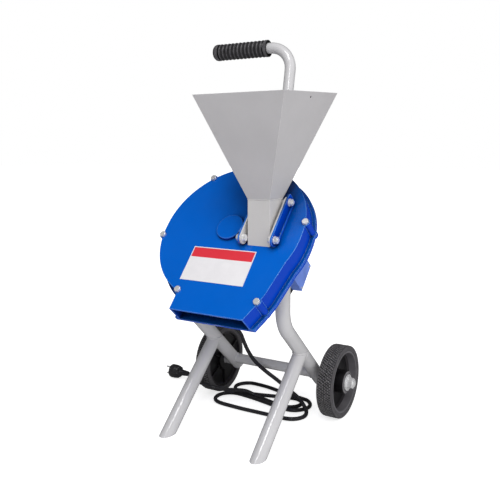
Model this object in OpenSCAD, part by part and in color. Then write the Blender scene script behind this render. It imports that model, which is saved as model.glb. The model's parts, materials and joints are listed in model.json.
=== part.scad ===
// Garden shredder: tubular frame on two wheels, tilted cutting chamber with a side hopper,
// a push handle and a motor behind the chamber. Millimetres, Z up, standing on Z = 0.
// Heights are above the floor; "in front of the axle" is along -Y.

/* [Frame] */
// Outer diameter of the frame tubes
tube_d = 33.5; // [31:0.5:36]
// Wall of the frame tubes
tube_wall = 2; // [1.5:0.5:3]
// Distance between the two main tubes, centre to centre
track = 244; // [240:1:256]
// Slope of the main tubes below the bend, in degrees from the floor
tube_slope = 42.8; // [42:0.2:44]
// How far the upright posts stand in front of the axle
post_reach = 195; // [185:1:205]
// Radius of the bend in the main tubes
bend_r = 75; // [65:1:85]
// How far the main tubes run on past the axle
tube_overrun = 11; // [8:1:20]
// How far the front feet stand in front of the axle
foot_reach = 302; // [290:1:320]
// Slope of the legs, in degrees from the floor
leg_slope = 42.6; // [41:0.2:44]
// Diameter of the crossbar
crossbar_d = 25; // [22:0.5:26]
// Wall of the crossbar
crossbar_wall = 2; // [1.5:0.5:3]
// Distance from the axle up the tubes to the crossbar
crossbar_up = 22; // [21.5:0.5:28]

/* [Wheels] */
// Outer diameter of the tyres
wheel_d = 180; // [170:2:190]
// Width of the tyres
wheel_w = 39; // [36:1:44]
// Gap between a main tube and the inner face of its wheel
wheel_gap = 17; // [14:0.5:22]
// Thickness of the tyre over its rim
tyre_t = 14; // [12:1:16]
// Depth of the grooves round the tread
groove_depth = 1.6; // [1:0.1:3]
// Width of the grooves round the tread
groove_w = 2.4; // [1.5:0.1:4]
// Wall of the rim barrel
rim_wall = 5; // [4:0.5:7]
// Thickness of the wheel web
web_t = 6; // [4:0.5:8]
// Depth of the dish from the tyre's outer face to the web
dish = 25; // [20:1:27]
// Outer diameter of the wheel hubs
hub_d = 57; // [50:1:62]
// How far a hub stands out past its tyre
hub_out = 4; // [2:0.5:6]
// Number of stiffening ribs on the inside of each web
rib_n = 6; // [4:1:8]
// Diameter of the stub axles
axle_d = 16; // [14:0.5:18]
// Diameter of the spacer sleeves on the axles
spacer_d = 23; // [21:1:28]
// Diameter of the axle washers
axle_washer_d = 40; // [32:1:46]
// Thickness of the axle washers
axle_washer_t = 3; // [2:0.5:4]
// Width across flats of the axle nuts
axle_nut_af = 24; // [22:1:30]
// Height of the axle nuts
axle_nut_h = 13; // [10:0.5:15]
// Length of axle that shows past its nut
axle_tail = 3.5; // [2:0.5:6]

/* [Chamber] */
// Tilt of the chamber's faces from upright, in degrees
tilt = 42; // [41:0.5:43]
// How far the shaft boss lies in front of the axle
boss_reach = 215; // [210:1:220]
// Height of the shaft boss
boss_h = 481; // [476:1:490]
// Radius of the round part of the casing
case_r = 177; // [174:1:180]
// How far the casing swells down the slope
swell = 7; // [4:1:10]
// Depth of the front casing, from its front face to its rear flange face
case_depth = 44; // [44:0.5:50]
// Thickness of the front plate
plate_t = 4; // [3:0.5:5]
// Thickness of the casing's side wall
wall_t = 4; // [3:0.5:5]
// Thickness of the casing's rear flange
flange_t = 4; // [3:0.5:6]
// How far the rear flange stands out past the wall
flange_out = 8; // [6:0.5:10]
// Thickness of the rear plate
rear_t = 6; // [5:0.5:8]
// Distance from the boss down the slope to the outlet edge
outlet_drop = 217; // [212:1:222]
// Left side of the outlet, from the boss
outlet_left = 65; // [60:1:70]
// Right side of the outlet, from the boss
outlet_right = 118; // [112:1:124]
// Radius of the ring of cover bolts
bolt_ring = 177.5; // [176:0.5:179]
// Radius of the lugs that the cover bolts pass through
lug_r = 9; // [8.5:0.5:12]
// Diameter of the cover bolts
cover_bolt_d = 8; // [6:0.5:8]
// Width across flats of the cover bolts and nuts
cover_bolt_af = 13; // [10:0.5:13]
// Height of the cover bolt heads
cover_head_h = 5.3; // [3.5:0.1:6]
// Height of the cover bolt nuts
cover_nut_h = 6.5; // [4:0.5:8]
// Diameter of the boss cap
boss_d = 65; // [60:1:70]
// Height of the boss cap
boss_out = 7.7; // [7:0.1:10]
// Width of the label plate
label_w = 161; // [140:1:165]
// Height of the label plate
label_h = 87; // [70:1:90]
// Thickness of the label plate
label_t = 0.6; // [0.4:0.1:1.2]

/* [Feed] */
// Distance of the feed neck to the right of the middle
neck_x = 87; // [84:1:90]
// How far the middle of the feed neck lies behind the boss
neck_reach = 2; // [-1:1:5]
// Width of the feed neck
neck_w = 54; // [50:1:56]
// Depth of the feed neck, front to back
neck_l = 58; // [54:1:60]
// Height of the top of the feed neck over the boss
neck_top = 69; // [64:1:79]
// Height of the hopper at its front, over the neck
hopper_rise = 215; // [200:1:230]
// Width of the hopper at its front rim
hopper_w = 212; // [190:1:230]
// Depth of the hopper at its front rim's height, front to back
hopper_l = 233; // [210:1:240]
// Tilt of the hopper's rim, in degrees
rim_tilt = 2.7; // [0:0.1:5]
// Thickness of the hopper's and the neck's sheet
sheet_t = 2; // [1.5:0.1:3]
// Gap between the neck and its side ears
ear_gap = 7.5; // [7.2:0.1:12]
// Thickness of the ears
ear_t = 3; // [2:0.5:4]
// How far the ears stand off the front plate
ear_out = 28; // [26:0.5:34]
// Lower end of the ears, up the slope from the boss
ear_low = -45; // [-50:1:-44]
// Upper end of the ears, up the slope from the boss
ear_high = 75; // [72:1:80]
// Width of the strips that join the ears to the neck
strip_w = 6; // [4:0.5:7]
// Length of the strips that join the ears to the neck
strip_run = 40; // [30:1:42]
// Thickness of the chute brackets
bracket_t = 4; // [3:0.5:6]
// How far the chute brackets stand off the front plate
bracket_out = 27.4; // [26:0.2:34]
// Lower end of the chute brackets, up the slope from the boss
bracket_low = -46.5; // [-52:0.5:-45.5]
// Upper end of the chute brackets, up the slope from the boss
bracket_high = 86; // [82:1:92]
// Height of the chute bolts over the front plate
chute_bolt_out = 15.5; // [14:0.5:17]
// Lower chute bolts, up the slope from the boss
chute_bolt_low = -32; // [-35:0.5:-30]
// Upper chute bolts, up the slope from the boss
chute_bolt_high = 68; // [65:0.5:69]
// Diameter of the chute bolts
chute_bolt_d = 8; // [6:0.5:9]
// Width across flats of the chute bolts and nuts
chute_bolt_af = 13; // [12:0.5:14]

/* [Handle] */
// Outer diameter of the handle tube
handle_d = 26.8; // [25:0.2:30]
// Wall of the handle tube
handle_wall = 2; // [1.5:0.5:3]
// Distance of the handle tube to the right of the middle
handle_x = 20; // [10:1:30]
// Lean of the handle tube from upright, in degrees
handle_tilt = 11.2; // [10:0.2:13]
// Height of the grip's centre line over the boss
grip_h = 424; // [399:1:459]
// How far the grip lies behind the boss
grip_back = 252; // [247:1:257]
// Length of the handle tube from its lower end to the grip's line
handle_len = 430; // [405:1:455]
// Radius of the bend below the grip
handle_bend = 60; // [50:1:70]
// Distance from the tube's upright part to the grip's inner end
grip_start = 66.5; // [64:0.5:90]
// Length of the grip
grip_len = 160; // [140:1:175]
// Diameter of the grip over its ribs
grip_d = 41.5; // [38:0.5:44]
// Depth of the valleys between the grip's ribs
grip_rib = 3.2; // [1.5:0.1:4]
// Number of ribs round the grip
grip_ribs = 12; // [6:1:16]
// Thickness of the handle bracket's cheeks
cheek_t = 5; // [4:0.5:8]
// Lower end of the cheeks on the rear plate, up the slope from the boss
cheek_low = 100; // [95:1:110]
// Upper end of the cheeks on the rear plate, up the slope from the boss
cheek_high = 166; // [155:1:170]
// Diameter of the handle bolts
handle_bolt_d = 8; // [6:0.5:9]
// Width across flats of the handle bolts and nuts
handle_bolt_af = 13; // [12:0.5:14]

/* [Motor] */
// Radius of the motor flange
flange_r = 92; // [90:1:94]
// Thickness of the motor flange
shield_t = 12; // [10:0.5:14]
// Radius of the ring of motor bolts
motor_ring = 84; // [83:0.5:85]
// Diameter of the motor bolts
motor_bolt_d = 6; // [5:0.5:7]
// Outer radius of the motor housing, without its fins
motor_r = 70; // [68:0.5:71]
// Wall of the motor housing
motor_wall = 8; // [6:0.5:9]
// Length of the motor housing
motor_len = 128; // [124:1:136]
// Height of the cooling fins
fin_h = 6; // [4:0.5:7]
// Thickness of the cooling fins
fin_t = 3; // [2:0.5:4]
// Number of cooling fins
fin_n = 24; // [16:4:28]
// Bore radius of the stator
stator_bore = 38; // [36:0.5:40]
// Length of the stator
stator_len = 65; // [55:1:70]
// Length of the fan cowl past the motor housing
cowl_len = 48; // [46:1:54]
// Thickness of the fan cowl
cowl_t = 1.6; // [1.2:0.1:2.5]
// Number of air slots in the fan cowl
slot_n = 16; // [10:1:18]

/* [Rotor] */
// Diameter of the motor shaft in the front bearing
shaft_d = 25; // [24:0.5:26]
// Diameter of the shaft's threaded nose
nose_d = 20; // [18:0.5:21]
// Diameter of the shaft in the rear bearing
shaft_rear_d = 17; // [16:0.5:18]
// Outer diameter of the front bearing
bearing_d = 52; // [50:1:54]
// Width of the front bearing
bearing_w = 15; // [13:0.5:16]
// Outer diameter of the rear bearing
bearing_rear_d = 40; // [38:1:44]
// Width of the rear bearing
bearing_rear_w = 12; // [10:0.5:13]
// Radius of the knife disc
disc_r = 155; // [148:1:160]
// Thickness of the knife disc
disc_t = 8; // [6:0.5:9]
// Gap between the front plate and the knives
knife_depth = 12; // [11:0.5:13]
// Distance from the shaft to a knife's inner end
knife_in = 54; // [50:1:58]
// Length of the disc knives
knife_len = 86; // [80:1:92]
// Distance from a knife's end to its screw
knife_screw_in = 21; // [16:1:26]
// Thickness of the disc knives
knife_t = 8; // [6:0.5:9]
// Thickness of the counter knife
counter_t = 10; // [7:0.5:10]
// Distance from the shaft to a paddle's inner end
paddle_in = 42; // [36:1:46]
// Thickness of the throwing paddles
paddle_t = 6; // [4:0.5:8]
// Depth of the throwing paddles
paddle_h = 9; // [6:0.5:10]

/* [Switch box] */
// Distance from the middle to the box's outer face
box_x = 100; // [99:0.5:102]
// Lower edge of the box, up the slope from the boss
box_low = -15; // [-20:1:-10]
// Upper edge of the box, up the slope from the boss
box_high = 58; // [54:1:62]
// Rear face of the box, behind the front plate
box_back = 226; // [222:1:230]
// Length of the box along the motor
box_len = 86; // [82:1:92]
// Wall of the box
box_wall = 3; // [2.5:0.5:3.5]
// Diameter of the start and stop buttons
button_d = 14; // [12:0.5:14.5]
// How far the buttons stand out of the box
button_out = 5; // [4.5:0.5:8]
// Travel of the buttons
button_travel = 3.5; // [2:0.5:4]

/* [Cord] */
// Diameter of the power cord
cord_d = 10; // [8:0.5:10.5]
// Length of the cord gland with its bend relief
gland_len = 34; // [28:1:40]
// Diameter of the plug
plug_d = 38; // [36:0.5:40]

/* [Fits] */
// Gap between welded tubes and what they are welded to
weld_gap = 0.1; // [0.05:0.01:0.2]
// Radial running clearance of the wheels and the shaft
run_gap = 0.05; // [0.02:0.01:0.1]
// Side play between moving faces
side_gap = 0.3; // [0.2:0.05:0.6]
// Radial clearance of bolts in their holes
bolt_gap = 0.3; // [0.1:0.05:0.5]
// Radial gap between parts that are fixed inside one another
seat_gap = 0.05; // [0.02:0.01:0.1]

/* [Hidden] */
$fn = 64;

// Colours
blue = "#0A62C6";
box_blue = "#6474BE";
grey_sheet = "#B2B0B2";
grey_tube = "#C4C4C6";
zinc = "#B9BABC";
steel = "#8F9296";
black = "#2A2A2C";
rubber = "#454446";
copper = "#B06A38";
cast_grey = "#6C7076";

// Frame lines
tube_r = tube_d / 2;
axle_z = wheel_d / 2;
corner_z = axle_z + post_reach * tan(tube_slope);
bend_angle = 90 - tube_slope;
bend_leg = bend_r * tan(bend_angle / 2);
bend_z = corner_z + bend_leg;
bend_end = [-post_reach + bend_leg * cos(tube_slope), corner_z - bend_leg * sin(tube_slope)];
lower_len = post_reach / cos(tube_slope) - bend_leg + tube_overrun;
leg_end_y = (axle_z - foot_reach * tan(leg_slope)) / (tan(leg_slope) + tan(tube_slope));
leg_len = (leg_end_y + foot_reach) / cos(leg_slope);
crossbar_pos = [-crossbar_up * cos(tube_slope), axle_z + crossbar_up * sin(tube_slope)];

// The outlet's lower front edge and the back of the tyres bound the machine front and back
front_y = -boss_reach - outlet_drop * sin(tilt);
shift_y = -(front_y + wheel_d / 2) / 2;

// Stations along an axle, from the middle
tube_side = track / 2 + tube_r;
wheel_in = tube_side + wheel_gap;
wheel_out = wheel_in + wheel_w;
hub_end = wheel_out + hub_out;
washer_at = hub_end + side_gap;
nut_at = washer_at + axle_washer_t;
axle_end = nut_at + axle_nut_h + axle_tail;
rim_r = wheel_d / 2 - tyre_t;

// Depths behind the front plate's face
back = case_depth + rear_t;
shield_back = back + shield_t;
motor_back = shield_back + motor_len;
bearing_at = back + 2;
stator_at = shield_back + 33;
stator_end = stator_at + stator_len;
rear_shield_t = 12;
rear_bearing_at = motor_back + 1;
cowl_end = motor_back + cowl_len;
knife_at = plate_t + knife_depth;
disc_at = knife_at + knife_t;
disc_back = disc_at + disc_t;
fan_at = motor_back + 22;
knife_screws_x = [knife_in + knife_screw_in, knife_in + knife_len - knife_screw_in];
shaft_end = motor_back + 42;
fin_r = motor_r + fin_h;
cowl_screws = [95, 215, 335];

// Cover bolt centres, right and up the slope from the boss
cover_pts = concat(
    [for (a = [9.5, 68.5, 127.4, 190.3]) bolt_ring * [cos(a), sin(a)]],
    [[-outlet_left, -outlet_drop + 48], [outlet_right + 17, -outlet_drop + 44]]
);

// Outline of the outlet side of the casing, counterclockwise from its lower left corner
scroll = [
    [-outlet_left, -outlet_drop],
    [outlet_right, -outlet_drop],
    [outlet_right + 14, -outlet_drop + 29],
    [outlet_right + 28, -outlet_drop + 63],
    (case_r - 0.5) * [cos(-10), sin(-10)],
    [0, 0],
    [-outlet_left, -100]
];

// Feed neck and hopper
neck_y = neck_reach - boss_reach;
neck_z = boss_h + neck_top;
flare_x = (hopper_w - neck_w) / 2 / hopper_rise;
flare_y = (hopper_l - neck_l) / 2 / hopper_rise;
hopper_h = hopper_rise + 20;
ear_x = neck_w / 2 + ear_gap;
bracket_x = ear_x + ear_t;
strip_l = ear_gap + 0.8;
chute_pts = [[chute_bolt_low, chute_bolt_out], [chute_bolt_high, chute_bolt_out]];

// Handle line in the plate's own axes: up the slope, and out of the plate
lean = tilt - handle_tilt;
handle_top = [
    grip_back * sin(tilt) + grip_h * cos(tilt),
    -grip_back * cos(tilt) + grip_h * sin(tilt)
];
function handle_at(s, out = 0) = handle_top - s * [cos(lean), sin(lean)] + out * [sin(lean), -cos(lean)];
cheek_gap = 0.5;
cheek_x = handle_d / 2 + cheek_gap;

// Washers and thread ends of the through bolts
bolt_washer_t = 1.6;
bolt_tail = 2;

// Commutator, its brushes and the fan
commutator_r = 25;
commutator_l = 16;
brush_l = 28;
brush_w = 16;
brush_h = 13;
fan_r = 58;
fan_hub_r = 16;
fan_w = 16;
fan_t = 2.5;

// Trimming blocks, larger than what they cut
cut_w = 600;
cut_l = 800;
cut_h = 400;

// Switch box
box_front = box_back - box_len;
box_in = fin_r - 14;
block_inset = 14;
block_w = 15;
lid_t = 3;
box_mid = box_x - lid_t - 8.5;
button_z = [box_front + 28, box_front + 58];
lid_pts = [for (v = [box_low + 6, box_high - 6], z = [box_front + 6, box_back - 6]) [v, z]];
button_face = box_high + button_out;
button_low = box_high - box_wall - 5;

// Cord: leaves the gland, hangs to the floor, lies in a few loose loops and ends at the plug
gland_angle = 205;
gland_z = 176;
gland_tip = fin_r + 0.2 + gland_len;
function from_plate(u, v, n) = [
    u,
    -boss_reach + v * sin(tilt) + n * cos(tilt),
    boss_h + v * cos(tilt) - n * sin(tilt)
];
cord_start = from_plate(gland_tip * cos(gland_angle), gland_tip * sin(gland_angle), gland_z);
plug_tail = [-290, 8, plug_d / 2];
route = [
    [-122, -122, 321], [-141, -125, 308], [-150, -121, 285], [-142, -110, 259], [-119, -95, 237],
    [-91, -78, 216], [-71, -64, 192], [-65, -54, 166], [-56, -47, 140], [-39, -42, 115],
    [-12, -38, 94], [19, -31, 73], [49, -21, 49], [76, -18, 30], [95, -26, 17],
    [108, -39, 9.5], [113, -57, 6], [108, -75, 5.2], [95, -89, 5.2], [76, -95, 5.2],
    [40, -96, 5.2], [0, -97, 5.2], [-40, -98, 5.2], [-76, -97, 5.2], [-106, -95, 5.2],
    [-127, -89, 5.2], [-141, -75, 5.2], [-146, -55, 5.2], [-141, -36, 5.2], [-127, -22, 5.2],
    [-106, -17, 5.2], [-60, -22, 5.2], [-20, -30, 5.2], [20, -39, 5.2], [54, -44, 5.2],
    [75, -39, 5.2], [91, -23, 5.2], [97, -3, 5.2], [91, 18, 5.2], [75, 35, 5.2],
    [54, 41, 5.2], [20, 46, 5.2], [-20, 56, 5.2], [-64, 67, 5.2], [-106, 70, 5.2],
    [-124, 65, 5.2], [-137, 52, 5.2], [-142, 35, 5.2], [-137, 18, 5.2], [-124, 5, 5.2],
    [-106, 0, 5.2], [-64, 3, 5.2], [-20, 15, 5.2], [16, 26, 5.2], [42, 30, 5.2],
    [57, 26, 5.2], [68, 15, 5.2], [72, 0, 5.2], [68, -15, 5.2], [57, -26, 5.2],
    [42, -30, 5.2], [16, -26, 5.2], [-20, -17, 5.2], [-54, -10, 7.6], [-79, -18, 18],
    [-97, -38, 24.5], [-109, -61, 30.5], [-122, -80, 37], [-137, -91, 42], [-153, -93, 44.5],
    [-168, -92, 46], [-184, -90, 46.5], [-203, -81, 44], [-218, -64, 39.5], [-231, -42, 33],
    [-242, -19, 26.5], [-256, -1.5, 22], [-274, 7.2, 19.3]
];
cord_pts = concat([cord_start], route, [plug_tail]);
cord_steps = 2;
cord_sides = 8;

function unit(v) = v / norm(v);
function mitre(p, d) = [
    for (i = [0 : len(p) - 1])
        let (
            a = unit(p[i] - p[(i + len(p) - 1) % len(p)]),
            b = unit(p[(i + 1) % len(p)] - p[i]),
            s = [a[1] + b[1], -a[0] - b[0]]
        )
        p[i] + s * 2 * d / (s * s)
];
function blend(a, b, c, d, t) =
    (2 * b + (c - a) * t + (2 * a - 5 * b + 4 * c - d) * t * t + (3 * b - a - 3 * c + d) * t * t * t) / 2;
function lift(p) = [p[0], p[1], max(p[2], cord_d / 2 + 0.05)];
function smooth(p, n) = concat(
    [
        for (i = [0 : len(p) - 2], k = [0 : n - 1])
            lift(blend(
                i > 0 ? p[i - 1] : 2 * p[0] - p[1], p[i], p[i + 1],
                i < len(p) - 2 ? p[i + 2] : 2 * p[i + 1] - p[i], k / n
            ))
    ],
    [p[len(p) - 1]]
);
function along(p, i) =
    i == 0 ? unit(p[1] - p[0]) :
    i == len(p) - 1 ? unit(p[i] - p[i - 1]) : unit(p[i + 1] - p[i - 1]);
function ring(c, t) =
    let (a = unit(cross(t, [0.2, 0.7, 0.69])), b = cross(t, a), turn = 360 / cord_sides)
    [for (k = [0 : cord_sides - 1]) c + cord_d / 2 * (cos(k * turn) * a + sin(k * turn) * b)];

// Solid along a frame tube's line: upright, bend, sloped run, and a thin band where the bend ends
module tube_line(r, more) {
    translate([0, -post_reach, bend_z])
        cylinder(r = r, h = boss_h - bend_z + more);
    translate([0, bend_r - post_reach, bend_z])
        rotate([90, 0, 90])
            rotate([0, 0, 180])
                rotate_extrude(angle = bend_angle)
                    translate([bend_r, 0])
                        circle(r = r);
    translate([0, bend_end[0], bend_end[1]])
        rotate([-90 - tube_slope, 0, 0]) {
            cylinder(r = r, h = lower_len + more);
            translate([0, 0, -3])
                cylinder(r = r + 0.15, h = 6);
        }
}

// The sloped run of a main tube as an endless rod
module slope_rod(r) {
    translate([0, 0, axle_z])
        rotate([-90 - tube_slope, 0, 0])
            translate([0, 0, -cut_h])
                cylinder(r = r, h = cut_w);
}

module place(c) {
    color(c)
        translate([0, shift_y, 0])
            children();
}

// Axes of the tilted front plate: right, up the slope, out of its face
module on_plate() {
    translate([0, -boss_reach, boss_h])
        rotate([90 - tilt, 0, 0])
            children();
}

// A flat plate that stands on the tilted plate, drawn up the slope and out
module side_plate(x, t) {
    translate([x, 0, 0])
        rotate([90, 0, 90])
            linear_extrude(height = t)
                children();
}

// Axes of a wheel: Z runs outward along its axle
module on_wheel(side) {
    mirror([side < 0 ? 1 : 0, 0, 0])
        translate([0, 0, axle_z])
            rotate([0, 90, 0])
                children();
}

module hex(af, h) {
    cylinder(d = af / cos(30), h = h, $fn = 6);
}

module rod_x(x, d, l) {
    translate([x, 0, 0])
        rotate([0, 90, 0])
            cylinder(d = d, h = l);
}

module main_tube(side) {
    place(grey_tube)
        translate([side * track / 2, 0, 0])
            difference() {
                tube_line(tube_r, 0);
                tube_line(tube_r - tube_wall, 2);
                on_plate()
                    translate([-cut_w / 2, -cut_l / 2, -back])
                        cube([cut_w, cut_l, cut_h]);
                translate([-60, 0, axle_z])
                    rotate([0, 90, 0])
                        cylinder(d = axle_d + 2 * weld_gap, h = 120);
            }
}

module main_tube_left() {
    main_tube(-1);
}

module main_tube_right() {
    main_tube(1);
}

module leg(side) {
    place(grey_tube)
        translate([side * track / 2, 0, 0])
            difference() {
                translate([0, -foot_reach, 0])
                    rotate([leg_slope - 90, 0, 0])
                        difference() {
                            translate([0, 0, -40])
                                cylinder(r = tube_r, h = leg_len + 40);
                            translate([0, 0, -50])
                                cylinder(r = tube_r - tube_wall, h = leg_len + 60);
                        }
                translate([-60, -foot_reach - 120, -120])
                    cube([120, 240, 120]);
                slope_rod(tube_r + weld_gap);
            }
}

module leg_left() {
    leg(-1);
}

module leg_right() {
    leg(1);
}

module crossbar() {
    place(grey_tube)
        difference() {
            translate([0, crossbar_pos[0], crossbar_pos[1]])
                rod_x(-track / 2, crossbar_d, track);
            translate([0, crossbar_pos[0], crossbar_pos[1]])
                rod_x(-track / 2 - 1, crossbar_d - 2 * crossbar_wall, track + 2);
            for (side = [-1, 1])
                translate([side * track / 2, 0, 0])
                    slope_rod(tube_r + weld_gap);
        }
}

module axle(side) {
    place(zinc)
        on_wheel(side)
            translate([0, 0, track / 2 - tube_r + 1]) {
                cylinder(d = axle_d, h = axle_end - track / 2 + tube_r - 2);
                translate([0, 0, axle_end - track / 2 + tube_r - 2])
                    cylinder(d1 = axle_d, d2 = axle_d - 2, h = 1);
            }
}

module axle_left() {
    axle(-1);
}

module axle_right() {
    axle(1);
}

// Spacer sleeve, washer and nut on each axle
module axle_fittings() {
    place(zinc)
        for (side = [-1, 1])
            on_wheel(side)
                difference() {
                    union() {
                        translate([0, 0, tube_side + 0.2])
                            cylinder(d = spacer_d, h = wheel_gap - 0.2 - side_gap);
                        translate([0, 0, washer_at])
                            cylinder(d = axle_washer_d, h = axle_washer_t);
                        translate([0, 0, nut_at])
                            intersection() {
                                hex(axle_nut_af, axle_nut_h);
                                cylinder(d1 = 2.2 * axle_nut_af, d2 = 1.02 * axle_nut_af, h = axle_nut_h);
                            }
                    }
                    cylinder(d = axle_d + 2 * seat_gap, h = axle_end + 10);
                }
}

module wheel_rim(side) {
    web_at = wheel_out - dish - web_t;
    place(black)
        on_wheel(side)
            difference() {
                union() {
                    rotate_extrude()
                        polygon([
                            [axle_d / 2 + run_gap, wheel_in],
                            [hub_d / 2 - 1, wheel_in],
                            [hub_d / 2, wheel_in + 1],
                            [hub_d / 2, web_at],
                            [rim_r - rim_wall, web_at],
                            [rim_r - rim_wall + 1, wheel_in + 1.5],
                            [rim_r - seat_gap, wheel_in + 1.5],
                            [rim_r - seat_gap, wheel_out - 1.5],
                            [rim_r - rim_wall + 1, wheel_out - 1.5],
                            [rim_r - rim_wall, web_at + web_t + 3],
                            [rim_r - rim_wall - 3, web_at + web_t],
                            [hub_d / 2 + 3, web_at + web_t],
                            [hub_d / 2, web_at + web_t + 3],
                            [hub_d / 2 - 0.5, hub_end - 1.5],
                            [hub_d / 2 - 2, hub_end],
                            [axle_d / 2 + run_gap, hub_end]
                        ]);
                    for (i = [0 : rib_n - 1])
                        rotate([0, 0, 360 * i / rib_n])
                            translate([hub_d / 2 - 2, -2.5, wheel_in + 3])
                                cube([rim_r - rim_wall - hub_d / 2 + 3, 5, web_at - wheel_in - 2]);
                }
                translate([0, 0, hub_end - 2])
                    difference() {
                        cylinder(d = hub_d - 7, h = 3);
                        cylinder(d = axle_washer_d + 1, h = 3);
                    }
            }
}

module wheel_rim_left() {
    wheel_rim(-1);
}

module wheel_rim_right() {
    wheel_rim(1);
}

module tyre(side) {
    r = wheel_d / 2;
    mid = (wheel_in + wheel_out) / 2;
    place(rubber)
        on_wheel(side)
            rotate_extrude()
                difference() {
                    polygon([
                        [rim_r, wheel_in + 1],
                        [r - tyre_t / 2, wheel_in],
                        [r - 3, wheel_in],
                        [r - 0.8, wheel_in + 1],
                        [r, wheel_in + 3.5],
                        [r, wheel_out - 3.5],
                        [r - 0.8, wheel_out - 1],
                        [r - 3, wheel_out],
                        [r - tyre_t / 2, wheel_out],
                        [rim_r, wheel_out - 1]
                    ]);
                    for (k = [-1, 0, 1])
                        translate([r - groove_depth, mid + k * wheel_w / 4.4 - groove_w / 2])
                            square([groove_depth + 1, groove_w]);
                }
}

module tyre_left() {
    tyre(-1);
}

module tyre_right() {
    tyre(1);
}

module outline(d, lug) {
    circle(r = case_r + d);
    translate([0, -swell])
        circle(r = case_r + d);
    polygon(mitre(scroll, d));
    for (p = cover_pts)
        translate(p)
            circle(r = lug);
}

// The flange and the rear plate end level with the outlet
module flange_outline() {
    difference() {
        outline(flange_out, lug_r + 3);
        translate([-cut_w / 2, -outlet_drop - cut_h])
            square([cut_w, cut_h]);
    }
}

module cavity() {
    m = mitre(scroll, -wall_t);
    difference() {
        union() {
            circle(r = case_r - wall_t);
            translate([0, -swell])
                circle(r = case_r - wall_t);
            polygon(m);
            polygon([m[0] + [0, 5], m[0] - [0, 30], m[1] - [0, 30], m[1] + [0, 5]]);
        }
        for (p = cover_pts)
            translate(p)
                circle(r = lug_r - 2.5);
    }
}

module cover_holes(h) {
    for (p = cover_pts)
        translate([p[0], p[1], -h])
            cylinder(d = cover_bolt_d + 2 * bolt_gap, h = h + 1);
}

module motor_holes(d) {
    for (a = [45 : 90 : 315])
        rotate([0, 0, a])
            translate([motor_ring, 0, 0])
                translate([0, 0, -shield_back - 1])
                    cylinder(d = d, h = shield_back + 2);
}

module front_casing() {
    place(blue)
        difference() {
            on_plate()
                difference() {
                    union() {
                        translate([0, 0, -case_depth])
                            linear_extrude(height = case_depth)
                                outline(0, lug_r);
                        translate([0, 0, -case_depth])
                            linear_extrude(height = flange_t)
                                flange_outline();
                    }
                    translate([0, 0, -case_depth - 1])
                        linear_extrude(height = case_depth - plate_t + 1)
                            cavity();
                    cover_holes(case_depth + 1);
                    translate([0, 0, -plate_t - 1])
                        cylinder(d = boss_d - 24, h = plate_t + 2);
                }
            translate([neck_x - neck_w / 2 + sheet_t, neck_y - neck_l / 2 + sheet_t, boss_h - 70])
                cube([neck_w - 2 * sheet_t, neck_l - 2 * sheet_t, 150]);
        }
}

module rear_plate() {
    place(blue)
        on_plate()
            difference() {
                translate([0, 0, -back])
                    linear_extrude(height = rear_t)
                        flange_outline();
                cover_holes(back + 1);
                motor_holes(motor_bolt_d + 2 * seat_gap);
                translate([0, 0, -back - 1])
                    cylinder(d = 44 + 2 * seat_gap, h = rear_t + 2);
            }
}

module boss_cap() {
    r = boss_d / 2;
    place(blue)
        on_plate()
            rotate_extrude()
                polygon([
                    [r - 9, 0], [r, 0], [r, boss_out - 2], [r - 0.6, boss_out - 0.6],
                    [r - 2, boss_out], [0, boss_out], [0, boss_out - 2], [r - 9, boss_out - 2]
                ]);
}

module cover_bolts() {
    place(zinc)
        on_plate()
            for (p = cover_pts)
                translate([p[0], p[1], 0]) {
                    intersection() {
                        hex(cover_bolt_af, cover_head_h);
                        cylinder(d1 = 2.4 * cover_bolt_af, d2 = cover_bolt_af, h = cover_head_h);
                    }
                    translate([0, 0, -back - cover_nut_h - 3])
                        cylinder(d = cover_bolt_d, h = back + cover_nut_h + 3);
                    translate([0, 0, -back - cover_nut_h])
                        difference() {
                            hex(cover_bolt_af, cover_nut_h);
                            translate([0, 0, -1])
                                cylinder(d = cover_bolt_d + 2 * seat_gap, h = cover_nut_h + 2);
                        }
                }
}

module label_plate() {
    place("white")
        on_plate()
            translate([8 - label_w / 2, -99 - label_h / 2, 0])
                cube([label_w, label_h, label_t]);
}

// Bar inside the chamber below the feed opening, with a sheared cutting edge
module counter_knife() {
    place(steel)
        on_plate()
            difference() {
                side_plate(neck_x - 42, 84)
                    polygon([
                        [-84, -plate_t],
                        [-62, -plate_t],
                        [-66, -plate_t - counter_t],
                        [-84, -plate_t - counter_t]
                    ]);
                for (x = [-28, 28])
                    translate([neck_x + x, -76, -plate_t - counter_t - 1])
                        cylinder(d = 5 + 2 * bolt_gap, h = counter_t + 2);
                for (x = [-28, 28])
                    translate([neck_x + x, -76, -plate_t - counter_t - 1])
                        cylinder(d = 9.6, h = 5.5);
            }
}

module counter_screws() {
    place(zinc)
        on_plate()
            for (x = [-28, 28])
                translate([neck_x + x, -76, -plate_t - counter_t + 0.5])
                    difference() {
                        union() {
                            cylinder(d = 8.5, h = 4);
                            cylinder(d = 5, h = counter_t - 0.6);
                        }
                        translate([0, 0, -1])
                            hex(4, 3);
                    }
}

module shaft_seal() {
    place(black)
        on_plate()
            translate([0, 0, -back])
                difference() {
                    cylinder(d = 44, h = rear_t);
                    translate([0, 0, -1])
                        cylinder(d = 32 + 2 * run_gap, h = rear_t + 2);
                }
}

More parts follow.
